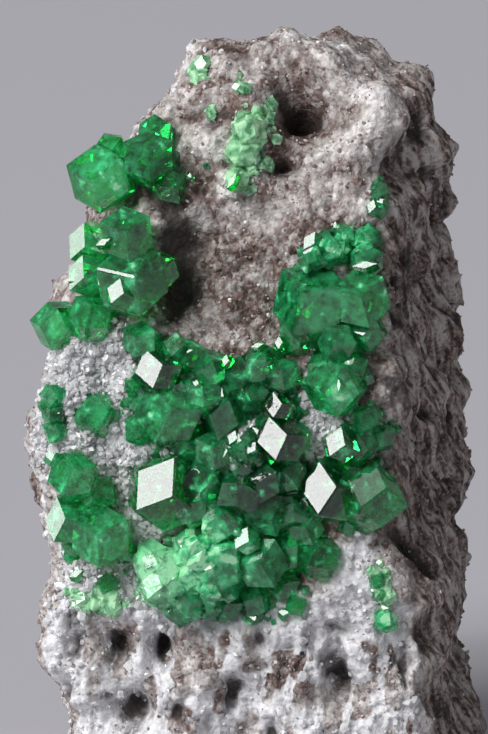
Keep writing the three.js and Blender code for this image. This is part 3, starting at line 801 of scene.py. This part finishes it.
@dataclass(frozen=True)
class GarnetFinish:
    """Clear green garnet: plain transmission and absorption, with cloudy inclusions, painted
    internal highlights and painted shade.

    absorbed and density are the clear body's, tint, dim_tint and milky the clouds' plain colour,
    the dark colour of painted shade and the pale colour. cloudy is the usual share of scattered
    light, sparks the most that a rare bright cloud, a painted internal glint, adds to it, and
    milk_from the shares between which the clouds turn milky.
    """

    name: str
    absorbed: Colour = (0.14, 0.94, 0.46)
    density: float = 600.0
    cloudy: float = 0.135
    sparks: float = 3.0
    tint: Colour = (0.08, 0.82, 0.32)
    dim_tint: Colour = (0.03, 0.22, 0.11)
    milky: Colour = (0.42, 0.84, 0.50)
    milk_from: tuple[float, float] = (0.60, 1.00)
    glows: tuple[Glow, ...] = PAINTED_GLOWS_AND_SHADE
    milk: tuple[Glow, ...] = MILK
    clear: tuple[Glow, ...] = CLEAR
    roughness: tuple[float, float] = (0.02, 0.09)
    refraction: float = 1.86

    def material(self) -> bpy.types.Material:
        """A clear body; where clouds are thick, less light passes and more is scattered.

        Returns:
            The material. The share of scattered light is cloudy * (1 + the glows and sparks) *
            (0.35 to 1.75 by noise), plus the milk where it lies. The sparks and the positive glows are
            painted internal highlights, the negative glows painted shade, which also darkens the tint.
        """
        r = Recipe(self.name)
        dim = r.span(r.noise(4.0, 1.0), 0.0, 1.0, 0.85, 1.15)
        # Painted shade: the negative glows lower the dim level.
        dim = self.lit(r, dim, tuple(glow for glow in self.glows if glow.amount < 0))
        # Painted internal highlights: rare bright clouds and the positive glows raise the level; the clear
        # crystals lower it.
        level = r.maths("ADD", dim, r.span(r.noise(0.9, 3.0), 0.58, 0.70, 0.0, self.sparks))
        level = self.lit(r, level, tuple(glow for glow in self.glows if glow.amount > 0) + self.clear)
        clouds = r.maths("MULTIPLY", r.span(r.noise(0.6, 4.0, 0.3), 0.36, 0.66, 0.35, 1.75), self.cloudy)
        share = r.maths("MULTIPLY", clouds, level)
        relief = r.bump(r.noise(0.5, 2.0), 0.02, 0.1)
        rough = r.maths("MULTIPLY", r.noise(0.45, 3.0), r.span(dim, 0.25, 0.7, 1.0, 0.0))
        relief = r.bump(rough, 0.2, 0.7, relief)
        pallor = r.span(share, *self.milk_from)
        if self.milk:
            reach = self.lit(r, 0.0, self.milk)
            crumbs = r.span(r.noise(0.9, 4.0), 0.40, 0.60, 0.1, 1.2)
            share = r.maths("ADD", share, r.maths("MULTIPLY", reach, crumbs))
            pallor = r.maths("ADD", pallor, reach)
            relief = r.bump(r.maths("MULTIPLY", r.noise(0.35, 3.0), reach), 0.25, 0.5, relief)
        share = r.span(share, 0.01, 0.9, 0.01, 0.9)
        tint = r.blend(r.span(pallor, 0.0, 1.0), self.tint, self.milky)
        # Painted shade: where the level is low, the tint is darkened towards dim_tint.
        tint = r.blend(r.span(level, 0.25, 0.95, 0.45, 0.0), tint, self.dim_tint)
        gloss = r.span(r.noise(0.7, 3.0), 0.35, 0.7, *self.roughness)
        r.surface(
            {
                "Base Color": tint,
                "Roughness": gloss,
                "IOR": self.refraction,
                "Transmission Weight": r.maths("SUBTRACT", 1.0, share),
                "Normal": relief,
            }
        )
        r.absorb(self.absorbed, self.density)
        return r.material

    def lit(self, r: Recipe, level: Socket | float, glows: tuple[Glow, ...]) -> Socket:
        """Adds glows to a level, each as a soft round spot.

        Args:
            r: the material under construction.
            level: what they are added to.
            glows: their places and amounts.

        Returns:
            The sum.
        """
        for glow in glows:
            spot = r.seen_spot(glow.across, glow.up, glow.inner, glow.outer, glow.amount)
            level = r.maths("ADD", level, spot)
        return level


def pale_finish(name: str) -> GarnetFinish:
    """The pale green garnets: milkier and less coloured."""
    return GarnetFinish(
        name, density=200.0, cloudy=0.6, sparks=0.0, tint=(0.26, 0.82, 0.40), milky=(0.54, 0.93, 0.56),
        milk_from=(0.1, 1.0), glows=(), milk=(), clear=(),
    )


# The pieces


@dataclass
class Skin:
    """Values at each point of the rock: the fine rise, and what the finish reads.

    crust is the share of white crust; the dark share is how dark a joint is, with painted shade
    added in pits, gashes and hollows; tone is the bare rock's lightness, and side 1 where the
    surface looks right.
    """

    rise: np.ndarray
    crust: np.ndarray
    joints_and_shade: np.ndarray
    tone: np.ndarray
    side: np.ndarray


@dataclass
class RockSurface:
    """The block's fine surface, in place of the plain solid."""

    form: BlockForm
    finish: RockFinish = field(default_factory=RockFinish)
    columns: int = 424
    rows: int = 216
    summit_rows: int = 13
    cover: float = 0.2
    face_shares: tuple[float, ...] = (0.0, 0.38, 0.63, 0.82, 1.0)
    face_turns: tuple[float, ...] = (-135.0, -45.0, 45.0, 135.0, 225.0)
    crust_below: float = 9.6
    coarse_grain: float = 1.25
    small_grain: float = 0.62
    upright_grain: float = 1.15
    points: np.ndarray = field(init=False)
    out: np.ndarray = field(init=False)
    look: Skin = field(init=False)

    def angles(self) -> np.ndarray:
        """Column angles in radians, closer together on the front than on the back."""
        share = np.arange(self.columns) / self.columns
        return np.radians(np.interp(share, self.face_shares, self.face_turns))

    def plain_grid(self) -> np.ndarray:
        """The plain block on a grid of heights and column angles.

        Returns:
            Rows by columns of points: rings up to the full height, then rings drawn in to the
            middle, which rise by summit_rise * (1 - (1 - inset)^2).
        """
        side, deep = self.form.round_square(self.angles())
        level = np.arange(self.rows + self.summit_rows)
        height = self.form.height * np.minimum(1, level / self.rows)
        inset = np.maximum(0, level - self.rows) / self.summit_rows
        grow = (1 - inset)[:, None]
        tall = np.repeat(height[:, None], self.columns, axis=1)
        points = self.form.on_slice(side * grow, deep * grow, tall)
        points[..., 2] += (self.form.summit_rise * (1 - (1 - inset) ** 2))[:, None]
        return points

    def outward(self, grid: np.ndarray) -> np.ndarray:
        """Outward directions: the step round the ring crossed with the step up the side.

        Args:
            grid: rows by columns of points.

        Returns:
            A unit direction for each, level in the lowest row.
        """
        round_step = np.roll(grid, -1, axis=1) - np.roll(grid, 1, axis=1)
        out = unit(np.cross(round_step, np.gradient(grid, axis=0)))
        out[0, :, 2] = 0
        return unit(out)

    def skin(self, points: np.ndarray, out: np.ndarray) -> Skin:
        """The finer relief and what it tells about the colour.

        Args:
            points: places on the plain block.
            out: outward directions.

        Returns:
            The rise is coarse grains, small grains and lumps of 0.32 mm, at places shifted by lumps
            of 1.5 and 0.55 mm. The foot has drips, and grains twice as tall as wide: one with a high
            random value is a pit, and one with a low value is bare of crust. On the right side the
            grains give way to slanted ridges, fibres and gashes. The tone is the grains' own random
            values and lumps of 2 and 0.9 mm, with the tone patches.
        """
        shift = np.stack([lumps(points + offset, 1.5) for offset in (0.0, 31.0, 57.0)], 1)
        wrinkle = np.stack([lumps(points + offset, 0.55) for offset in (11.0, 43.0, 71.0)], 1)
        bent = points + 0.5 * shift + 0.2 * wrinkle
        coarse, owner = packed_grains(bent, self.coarse_grain)
        small, lesser = packed_grains(bent + 0.1 * wrinkle, self.small_grain)
        across, up = seen_place(points)
        front = smooth_step(0.15, 0.6, -out[:, 1])
        side = smooth_step(0.35, 0.85, out[:, 0])
        ridges = 1 - 2.4 * np.abs(self.slanted(bent, 1.4, 8.0))
        fibres = 1 - 2.4 * np.abs(self.slanted(bent + 9, 0.55, 4.0))
        foot = smooth_step(self.crust_below + 0.8, self.crust_below - 1.4, up + lumps(points, 2.6))
        upright, column = packed_grains(bent * (1, 1, 0.5), self.upright_grain)
        bare = smooth_step(0.50, 0.38, column) * smooth_step(-0.7, 0.0, upright)
        drips = foot * (1 - 2.4 * np.abs(lumps(bent, (0.9, 0.9, 3.4))))
        sugar = patch_sum(WHITE_SUGAR + FROST, across, up)
        pale = patch_sum(PALE_RIDGE, across, up)
        near = np.clip((0.9 - 0.75 * bare) * foot + sugar + 0.3 * pale, 0, 1)
        far = (0.3 + 0.3 * lumps(points, 4.0)) * (1 - side)
        pits = smooth_step(0.8, 0.92, column) * smooth_step(-0.6, 0.2, upright) * foot * (1 - side)
        gashes = side * smooth_step(0.0, 0.5, -0.5 * ridges - 0.5 * fibres - 0.5 * lumps(bent, 1.3))
        plain = 1 - 0.5 * side
        granular = (0.26 - 0.10 * foot) * coarse + 0.12 * small + 0.07 * lumps(bent, 0.32) + 0.2 * drips
        rise = plain * granular - 0.7 * pits
        rise += side * (0.36 * ridges + 0.2 * fibres) - 0.6 * gashes
        rise -= 0.6 * front * np.clip(patch_sum(PAINTED_SHADE_HOLLOWS, across, up), 0, 1)
        rise -= 0.5 * side * patch_sum(SIDE_PAINTED_SHADE_HOLLOWS, across, up)
        tone = 0.28 * owner + 0.15 * lesser + 0.26
        tone += 0.30 * lumps(points + 17, 2.0) + 0.24 * lumps(bent, 0.9)
        tone += front * (patch_sum(TONES, across, up) + 0.32 * pale)
        joints = np.clip(0.5 - 0.5 * coarse - 0.3 * small, 0, 1) * (0.7 - 0.28 * foot)
        # Dark joints are the rock's own; the pits, the gashes and the hollow patches get painted shade.
        joints_and_shade = plain * joints + 0.75 * pits + 0.9 * gashes
        joints_and_shade *= 1 - 0.7 * front * np.clip(sugar, 0, 1)
        joints_and_shade += front * patch_sum(PAINTED_SHADE_HOLLOWS, across, up) + side * patch_sum(SIDE_PAINTED_SHADE_HOLLOWS, across, up)
        return Skin(rise, front * near + (1 - front) * far, joints_and_shade, tone, side)

    def slanted(self, points: np.ndarray, wide: float, long: float) -> np.ndarray:
        """Lumps of one width and length that lie like the side's streaks."""
        return lumps(points @ fibre_axes().T, (2.0, wide, long))

    def build(self) -> bpy.types.Object:
        """Makes the closed surface: the grid, a fan at the top and a fan across the flat cut.

        Returns:
            The mesh. Each point is the plain block's, moved outwards by the solid's roughness and,
            weaker near the cut, by a thin cover and the skin's rise.
        """
        grid = self.plain_grid()
        out = self.outward(grid).reshape(-1, 3)
        plain = grid.reshape(-1, 3)
        skin = self.skin(plain, out)
        foot = smooth_step(0.0, 0.8, plain[:, 2])
        rise = self.form.roughness(plain, out) + foot * self.cover + skin.rise * (0.4 + 0.6 * foot)
        self.points = plain + out * rise[:, None]
        self.out = out
        self.look = skin
        last = len(self.points) - self.columns
        middles = np.stack([self.points[last:].mean(0), self.points[: self.columns].mean(0)])
        numbers = np.arange(len(self.points)).reshape(-1, self.columns)
        nxt = np.roll(numbers, -1, axis=1)
        quads = np.stack([numbers[:-1], nxt[:-1], nxt[1:], numbers[1:]], -1).reshape(-1, 4)
        top = np.stack([numbers[-1], nxt[-1], np.full(self.columns, len(self.points))], 1)
        cut = np.stack([nxt[0], numbers[0], np.full(self.columns, len(self.points) + 1)], 1)
        piece = mesh_piece("rock", np.concatenate([self.points, middles]), [quads, top, cut], True)
        add_attribute(piece, "crust", np.append(skin.crust, [skin.crust[-1], 0.3]))
        add_attribute(piece, "joints_and_shade", np.append(skin.joints_and_shade, [0.0, 0.2]))
        add_attribute(piece, "tone", np.append(skin.tone, [skin.tone[-1], 0.5]))
        add_attribute(piece, "side", np.append(skin.side, [0.0, 0.0]))
        piece.data.materials.append(self.finish.material())
        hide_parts("matrix")
        return piece


def lozenge_crystal() -> tuple[np.ndarray, np.ndarray]:
    """A crystal with 12 lozenge faces, 1 from middle to face.

    Returns:
        Its points, which are rings of four at heights -1, 0 and 1 with radius sqrt 2, 2 and sqrt 2,
        the middle one turned by 45 degrees, and a point at heights -2 and 2, all divided by sqrt 2,
        and its faces.
    """
    quarter = np.arange(4) * math.pi / 2
    turned = quarter + math.pi / 4
    corner = np.stack([np.cos(turned), np.sin(turned), np.zeros(4)], 1) * math.sqrt(2)
    axis = np.stack([np.cos(quarter), np.sin(quarter), np.zeros(4)], 1) * 2
    points = np.concatenate([corner - (0, 0, 1), axis, corner + (0, 0, 1), [[0, 0, -2], [0, 0, 2]]])
    n = np.arange(4)
    before = (n - 1) % 4
    belt = np.stack([4 + n, n, 4 + (n + 1) % 4, n + 8], 1)
    low = np.stack([before, np.full(4, 12), n, 4 + n], 1)
    high = np.stack([4 + n, n + 8, np.full(4, 13), before + 8], 1)
    faces = np.concatenate([belt, low, high])
    return points / math.sqrt(2), faces


@dataclass
class Scatter:
    """Many small grains that stand on the rock.

    sizes are from middle to face. stretch is how unequal a grain's three widths may be, sunk how
    deep it sits and heap how much higher it may lie, both as shares of its size.
    """

    name: str
    rock: RockSurface
    finish: GrainFinish | GarnetFinish
    slot: str
    count: int
    sizes: tuple[float, float]
    seed: int
    stretch: float = 0.25
    sunk: float = 0.3
    heap: float = 0.0

    def weights(self) -> np.ndarray:
        """How likely a grain is, by where the point is seen and whether it looks forward.

        Returns:
            A number for each point of the rock.
        """
        across, up = seen_place(self.rock.points)
        front = smooth_step(0.15, 0.6, -self.rock.out[:, 1])
        return self.likely(across, up, front)

    def likely(self, across: np.ndarray, up: np.ndarray, front: np.ndarray) -> np.ndarray:
        """A number for each point of the rock; each kind of grain says its own."""
        raise NotImplementedError

    def build(self) -> bpy.types.Object:
        """Draws the places, turns and sizes from a seeded source and makes one mesh.

        Returns:
            The mesh. Each grain's middle is the rock's point + the outward direction * size *
            (0.5 - sunk + a random share of heap).
        """
        random = np.random.default_rng(self.seed)
        side = smooth_step(0.3, 0.8, self.rock.out[:, 0])
        open_places = np.clip(1.1 - self.rock.look.joints_and_shade, 0, 1) * (1 - 0.8 * side)
        weight = self.weights() * self.cell_area() * open_places
        chosen = random.choice(len(weight), self.count, replace=False, p=weight / weight.sum())
        size = self.sizes[0] + (self.sizes[1] - self.sizes[0]) * random.random(self.count) ** 2
        spread = 1 + self.stretch * random.uniform(-1, 1, (self.count, 3))
        axes = random_turns(random, self.count) * (size[:, None] * spread)[:, None, :]
        lift = (0.5 - self.sunk + self.heap * random.random(self.count)) * size
        centres = self.rock.points[chosen] + self.rock.out[chosen] * lift[:, None]
        centres += random.uniform(-0.06, 0.06, centres.shape)
        centres[:, 2] = np.maximum(centres[:, 2], 2.2 * size)
        shape, faces = lozenge_crystal()
        points, numbers = turned_copies(shape, faces, centres, axes)
        piece = mesh_piece(self.name, points, [numbers], False)
        add_attribute(piece, "tone", np.repeat(random.random(self.count), len(shape)))
        piece.data.materials.append(self.finish.material())
        return piece

    def cell_area(self) -> np.ndarray:
        """The area that each point of the rock stands for, so that close rows don't get more.

        Returns:
            The grid's step round times its step up, at most 0.12.
        """
        grid = self.rock.points.reshape(-1, self.rock.columns, 3)
        wide = np.linalg.norm(np.roll(grid, -1, axis=1) - grid, axis=2)
        tall = np.linalg.norm(np.gradient(grid, axis=0), axis=2)
        return np.minimum(wide * tall, 0.12).ravel()


@dataclass
class SugarGrains(Scatter):
    """White sugary grains, thick in the white patches."""

    def likely(self, across: np.ndarray, up: np.ndarray, front: np.ndarray) -> np.ndarray:
        """A few by the cube of the crust share, and most in the sugar patches."""
        return 0.06 * self.rock.look.crust**3 + 3 * front * patch_sum(WHITE_SUGAR, across, up)


@dataclass
class BrownGrains(Scatter):
    """Brown and mauve grains, where there is no crust."""

    def likely(self, across: np.ndarray, up: np.ndarray, front: np.ndarray) -> np.ndarray:
        """What the crust leaves bare."""
        return 1.05 - self.rock.look.crust


@dataclass
class SmallGarnets(Scatter):
    """Very small garnets between the clusters."""

    patches: tuple[Patch, ...] = GREEN_DRUSE

    def likely(self, across: np.ndarray, up: np.ndarray, front: np.ndarray) -> np.ndarray:
        """The green patches of the front."""
        return front * patch_sum(self.patches, across, up) ** 2 + 1e-9


@dataclass
class OvergrownGarnets:
    """Very small garnets that grew over the crystals of a packed cluster, half sunk in their faces."""

    name: str
    host: bpy.types.Object
    finish: GarnetFinish
    slot: str
    count: int
    sizes: tuple[float, float]
    patches: tuple[Patch, ...]
    seed: int
    sunk: float = 0.4
    tries: int = 20000

    def even_places(self, random: np.random.Generator) -> tuple[np.ndarray, np.ndarray]:
        """Random places spread evenly over the host's faces.

        Args:
            random: the seeded source.

        Returns:
            The places, each a triangle's three corners weighed by the gaps between 0, two sorted
            random numbers and 1, and the outward directions there.
        """
        mesh = self.host.data
        mesh.calc_loop_triangles()
        places = np.empty(3 * len(mesh.vertices))
        mesh.vertices.foreach_get("co", places)
        corners = np.empty(3 * len(mesh.loop_triangles), np.int32)
        mesh.loop_triangles.foreach_get("vertices", corners)
        first, second, third = np.moveaxis(places.reshape(-1, 3)[corners.reshape(-1, 3)] / MM, 1, 0)
        square = np.cross(second - first, third - first)
        area = np.linalg.norm(square, axis=1)
        which = random.choice(len(area), self.tries, p=area / area.sum())
        low, high = np.sort(random.random((2, self.tries)), axis=0)[..., None]
        points = first[which] * low + second[which] * (high - low) + third[which] * (1 - high)
        return points, unit(square[which])

    def build(self) -> bpy.types.Object:
        """Keeps some of the even places by their patch weight, and sets a crystal into each.

        Returns:
            The mesh. Each crystal's middle lies below its face by sunk times its size.
        """
        random = np.random.default_rng(self.seed)
        places, outward = self.even_places(random)
        front = smooth_step(-0.1, 0.3, -outward[:, 1])
        weight = front * patch_sum(self.patches, *seen_place(places)) ** 2 + 1e-12
        chosen = random.choice(self.tries, self.count, replace=False, p=weight / weight.sum())
        size = self.sizes[0] + (self.sizes[1] - self.sizes[0]) * random.random(self.count) ** 2
        spread = size[:, None] * (1 + 0.3 * random.uniform(-1, 1, (self.count, 3)))
        axes = random_turns(random, self.count) * spread[:, None, :]
        centres = places[chosen] - self.sunk * size[:, None] * outward[chosen]
        shape, faces = lozenge_crystal()
        points, numbers = turned_copies(shape, faces, centres, axes)
        piece = mesh_piece(self.name, points, [numbers], False)
        piece.data.materials.append(self.finish.material())
        return piece


@dataclass(frozen=True)
class FaceSeat:
    """A small garnet with one lozenge face turned to mirror the key light to the viewer.

    across and up are its place as seen, and forward its distance in front of the rock. wide and long
    are half its size across and along the lozenge. lean turns the long diagonal clockwise, in degrees.
    """

    across: float
    up: float
    forward: float
    wide: float
    long: float
    lean: float = 0.0


@dataclass
class SeatedGarnets:
    """Small garnets with bright faces, one by one."""

    name: str
    rock: RockSurface
    finish: GarnetFinish
    slot: str
    seats: tuple[FaceSeat, ...]
    looks: float = math.radians(-22.0)
    lifts: float = math.radians(24.0)

    def axes(self) -> np.ndarray:
        """Turns the crystal's (1, 1, 0) face to the given way, then stretches it along the face.

        Returns:
            A 3 by 3 matrix for each seat: the lozenge's short diagonal, long diagonal and outward
            direction, times the crystal's own three axes.
        """
        az, el = self.looks, self.lifts
        normal = np.array([math.sin(az) * math.cos(el), -math.cos(az) * math.cos(el), math.sin(el)])
        upright = np.array([-math.sin(az) * math.sin(el), math.cos(az) * math.sin(el), math.cos(el)])
        level = np.cross(upright, normal)
        lean = np.radians([seat.lean for seat in self.seats])[:, None]
        long = upright * np.cos(lean) + level * np.sin(lean)
        short = np.cross(long, normal)
        sizes = np.array([[seat.wide, seat.long, (seat.wide + seat.long) / 2] for seat in self.seats])
        look = np.stack([short, long, np.broadcast_to(normal, short.shape)], -1) * sizes[:, None, :]
        crystal = unit(np.array([[0.0, 0.0, 1.0], [1.0, -1.0, 0.0], [1.0, 1.0, 0.0]]))
        return look @ crystal

    def centres(self) -> np.ndarray:
        """Sets each seat on its line of sight, forward of the nearest front point of the rock.

        Returns:
            The middle of each crystal.
        """
        front = self.rock.points[self.rock.out[:, 1] < -0.3]
        across, up = seen_place(front)
        wanted = np.array([[seat.across, seat.up] for seat in self.seats])
        near = ((across - wanted[:, :1]) ** 2 + (up - wanted[:, 1:]) ** 2).argmin(1)
        deep = front[near, 1] - np.array([seat.forward for seat in self.seats])
        height = (wanted[:, 1] - deep * math.sin(SIGHT_TILT)) / math.cos(SIGHT_TILT)
        return np.stack([wanted[:, 0], deep, height], 1)

    def build(self) -> bpy.types.Object:
        """Copies one crystal to every seat.

        Returns:
            One mesh of all the crystals.
        """
        shape, faces = lozenge_crystal()
        points, numbers = turned_copies(shape, faces, self.centres(), self.axes())
        piece = mesh_piece(self.name, points, [numbers], False)
        piece.data.materials.append(self.finish.material())
        return piece


# The small white faces among the clusters.
BRIGHT_SEATS = (
    FaceSeat(-1.0, 24.35, 0.9, 0.34, 0.34), FaceSeat(0.9, 25.25, 0.7, 0.22, 0.42, 72),
    FaceSeat(2.2, 25.4, 0.9, 0.36, 0.4, -8), FaceSeat(5.75, 22.9, 2.3, 0.15, 0.4, -10),
    FaceSeat(7.4, 30.0, 1.2, 0.3, 0.8, 80), FaceSeat(-0.6, 35.05, 1.15, 0.25, 0.55, 25),
    FaceSeat(-8.3, 31.4, 2.9, 0.3, 0.5, 60), FaceSeat(-8.5, 29.15, 2.2, 0.26, 0.34, 5),
    FaceSeat(-10.7, 12.8, 0.5, 0.26, 0.26), FaceSeat(-10.0, 11.5, 0.3, 0.3, 0.5, 60),
    FaceSeat(-3.2, 35.4, 0.2, 0.2, 0.24), FaceSeat(-4.4, 34.4, 0.8, 0.14, 0.3, 30),
    FaceSeat(5.5, 32.5, 0.15, 0.18, 0.2), FaceSeat(-2.8, 23.0, 1.3, 0.3, 0.2, 20),
    FaceSeat(-9.8, 29.3, 1.6, 0.4, 0.65, 60),
)


@dataclass
class GarnetClusters:
    """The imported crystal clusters, with welded, faintly rounded edges and a clear finish."""

    edge: float = 0.035
    weld: float = 0.002
    sharp: float = math.radians(20.0)

    def finish_of(self, node: str) -> GarnetFinish:
        """Deep green for most, paler where the photo's crystals are pale.

        Args:
            node: the name of a packed cluster.

        Returns:
            Its finish.
        """
        if node in ("pale_centre_garnets", "top_left_garnets", "foot_left_garnets"):
            return pale_finish("pale_garnet")
        return GarnetFinish("green_garnet")

    def dress(self, nodes: dict[str, bpy.types.Object]) -> None:
        """Gives every garnet node its finish and its edges.

        Args:
            nodes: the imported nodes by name.
        """
        made: dict[str, bpy.types.Material] = {}
        for name, node in nodes.items():
            if name == "matrix":
                continue
            finish = self.finish_of(name)
            if finish.name not in made:
                made[finish.name] = finish.material()
            node.data.materials.clear()
            node.data.materials.append(made[finish.name])
            weld = node.modifiers.new("weld", "WELD")
            weld.merge_threshold = self.weld * MM
            bevel = node.modifiers.new("edges", "BEVEL")
            bevel.width = self.edge * MM
            bevel.segments = 1
            bevel.limit_method = "ANGLE"
            bevel.angle_limit = self.sharp
            LOG.info("dressed %s", name)


# Studio


@dataclass(frozen=True)
class SoftLight:
    """A square light: its direction from the object in degrees, distance and side in metres."""

    name: str
    azimuth: float
    elevation: float
    distance: float
    side: float
    radiance: float
    colour: Colour = (1.0, 1.0, 1.0)

    def build(self, target: Vector) -> None:
        """Adds the light. Its power is pi * area * radiance, so it looks as bright from any distance.

        Args:
            target: the point that it shines at, in metres.
        """
        data = bpy.data.lights.new(self.name, "AREA")
        data.shape = "SQUARE"
        data.size = self.side
        data.energy = math.pi * self.side**2 * self.radiance
        data.color = self.colour
        light = bpy.data.objects.new(self.name, data)
        bpy.context.scene.collection.objects.link(light)
        a, e = math.radians(self.azimuth), math.radians(self.elevation)
        away = Vector((math.sin(a) * math.cos(e), -math.cos(a) * math.cos(e), math.sin(e)))
        light.location = target + away * self.distance
        light.rotation_euler = (-away).to_track_quat("-Z", "Y").to_euler()


@dataclass(frozen=True)
class Studio:
    """Floor, fill, lights and camera."""

    frame_height: float = 44.04
    distance: float = 850.0
    target: tuple[float, float, float] = (0.0, -6.0, 25.83)
    floor_size: float = 6.0
    floor_colour: Colour = (0.470, 0.462, 0.498)
    fill: Colour = (0.175, 0.176, 0.182)
    lights: tuple[SoftLight, ...] = (
        SoftLight("key", -50.0, 36.0, 3.6, 2.3, 8.2),
        SoftLight("left_rim", -105.0, 16.0, 3.6, 1.4, 5.0),
        SoftLight("spark", -30.0, 52.0, 3.6, 0.25, 60.0),
        SoftLight("top", -18.0, 73.5, 3.2, 0.7, 1.1),
    )

    def floor(self) -> None:
        """One large square with a plain finish."""
        half = self.floor_size / 2
        mesh = bpy.data.meshes.new("floor")
        corners = [(-half, -half, 0), (half, -half, 0), (half, half, 0), (-half, half, 0)]
        mesh.from_pydata(corners, [], [(0, 1, 2, 3)])
        floor = bpy.data.objects.new("floor", mesh)
        bpy.context.scene.collection.objects.link(floor)
        r = Recipe("floor")
        r.surface({"Base Color": opaque(self.floor_colour), "Roughness": 0.9, "Specular IOR Level": 0.1})
        mesh.materials.append(r.material)

    def world(self) -> None:
        """An even fill from all sides."""
        world = bpy.data.worlds.new("fill")
        world.use_nodes = True
        world.node_tree.nodes["Background"].inputs["Color"].default_value = opaque(self.fill)
        bpy.context.scene.world = world

    def camera(self) -> None:
        """A long lens, so that the view is nearly square to the sight line everywhere."""
        data = bpy.data.cameras.new("camera")
        data.sensor_width = 36.0
        data.lens = data.sensor_width * self.distance / self.frame_height
        data.clip_start, data.clip_end = 0.01, 10.0
        camera = bpy.data.objects.new("camera", data)
        bpy.context.scene.collection.objects.link(camera)
        away = Vector((0, -math.cos(SIGHT_TILT), math.sin(SIGHT_TILT)))
        camera.location = (Vector(self.target) + away * self.distance) * MM
        camera.rotation_euler = (-away).to_track_quat("-Z", "Y").to_euler()
        bpy.context.scene.camera = camera

    def build(self) -> None:
        """Sets up everything around the object."""
        self.floor()
        self.world()
        self.camera()
        for light in self.lights:
            light.build(Vector(self.target) * MM)
        bpy.context.scene.view_settings.view_transform = "Standard"


def main() -> None:
    """Builds the pieces in order and reports each."""
    logging.basicConfig(level=logging.INFO, format="%(message)s")
    Studio().build()
    rock = RockSurface(BlockForm())
    pieces = [rock.build()]
    white_tones = ((0.70, 0.69, 0.70), (0.90, 0.90, 0.92), (0.97, 0.97, 0.98))
    brown_tones = (
        (0.15, 0.10, 0.09), (0.26, 0.20, 0.185), (0.34, 0.29, 0.27), (0.44, 0.40, 0.385),
        (0.75, 0.72, 0.70),
    )
    sugar = GrainFinish("sugar_grain", white_tones, (0.05, 0.35), transmission=0.3)
    brown = GrainFinish("brown_grain", brown_tones)
    tiny = GarnetFinish("small_garnet", density=1600.0)
    pale = pale_finish("small_pale_garnet")
    scatters = (
        SugarGrains("sugar_grains", rock, sugar, "rock", 4600, (0.06, 0.22), 11, 0.5, 0.35, 0.5),
        BrownGrains("brown_grains", rock, brown, "rock", 7000, (0.04, 0.12), 23, 0.45, 0.6),
        SmallGarnets("small_garnets", rock, tiny, "garnet", 800, (0.16, 0.62), 37, 0.08),
        SmallGarnets(
            "small_pale_garnets", rock, pale, "pale_garnet", 260, (0.12, 0.44), 41, 0.2, patches=PALE_DRUSE
        ),
    )
    pieces += [scatter.build() for scatter in scatters]
    bright = GarnetFinish("bright_garnet", density=3000.0, cloudy=0.06)
    pieces.append(SeatedGarnets("bright_garnets", rock, bright, "garnet", BRIGHT_SEATS).build())
    milky = GarnetFinish("milky_garnet", density=900.0, cloudy=0.2, tint=(0.08, 0.84, 0.34), milk=MILK[:1])
    low, high = (frame["nodes"][name] for name in ("main_garnets", "upper_right_garnets"))
    overgrowths = (
        OvergrownGarnets("low_overgrowth", low, milky, "pale_garnet", 80, (0.22, 0.85), LOW_OVERGROWTH, 53),
        OvergrownGarnets(
            "high_overgrowth", high, milky, "pale_garnet", 34, (0.12, 0.48), HIGH_OVERGROWTH, 59
        ),
    )
    pieces += [overgrowth.build() for overgrowth in overgrowths]
    GarnetClusters().dress(frame["nodes"])
    for piece in pieces:
        LOG.info("%s: %d faces", piece.name, len(piece.data.polygons))


if __name__ == "__main__":
    main()
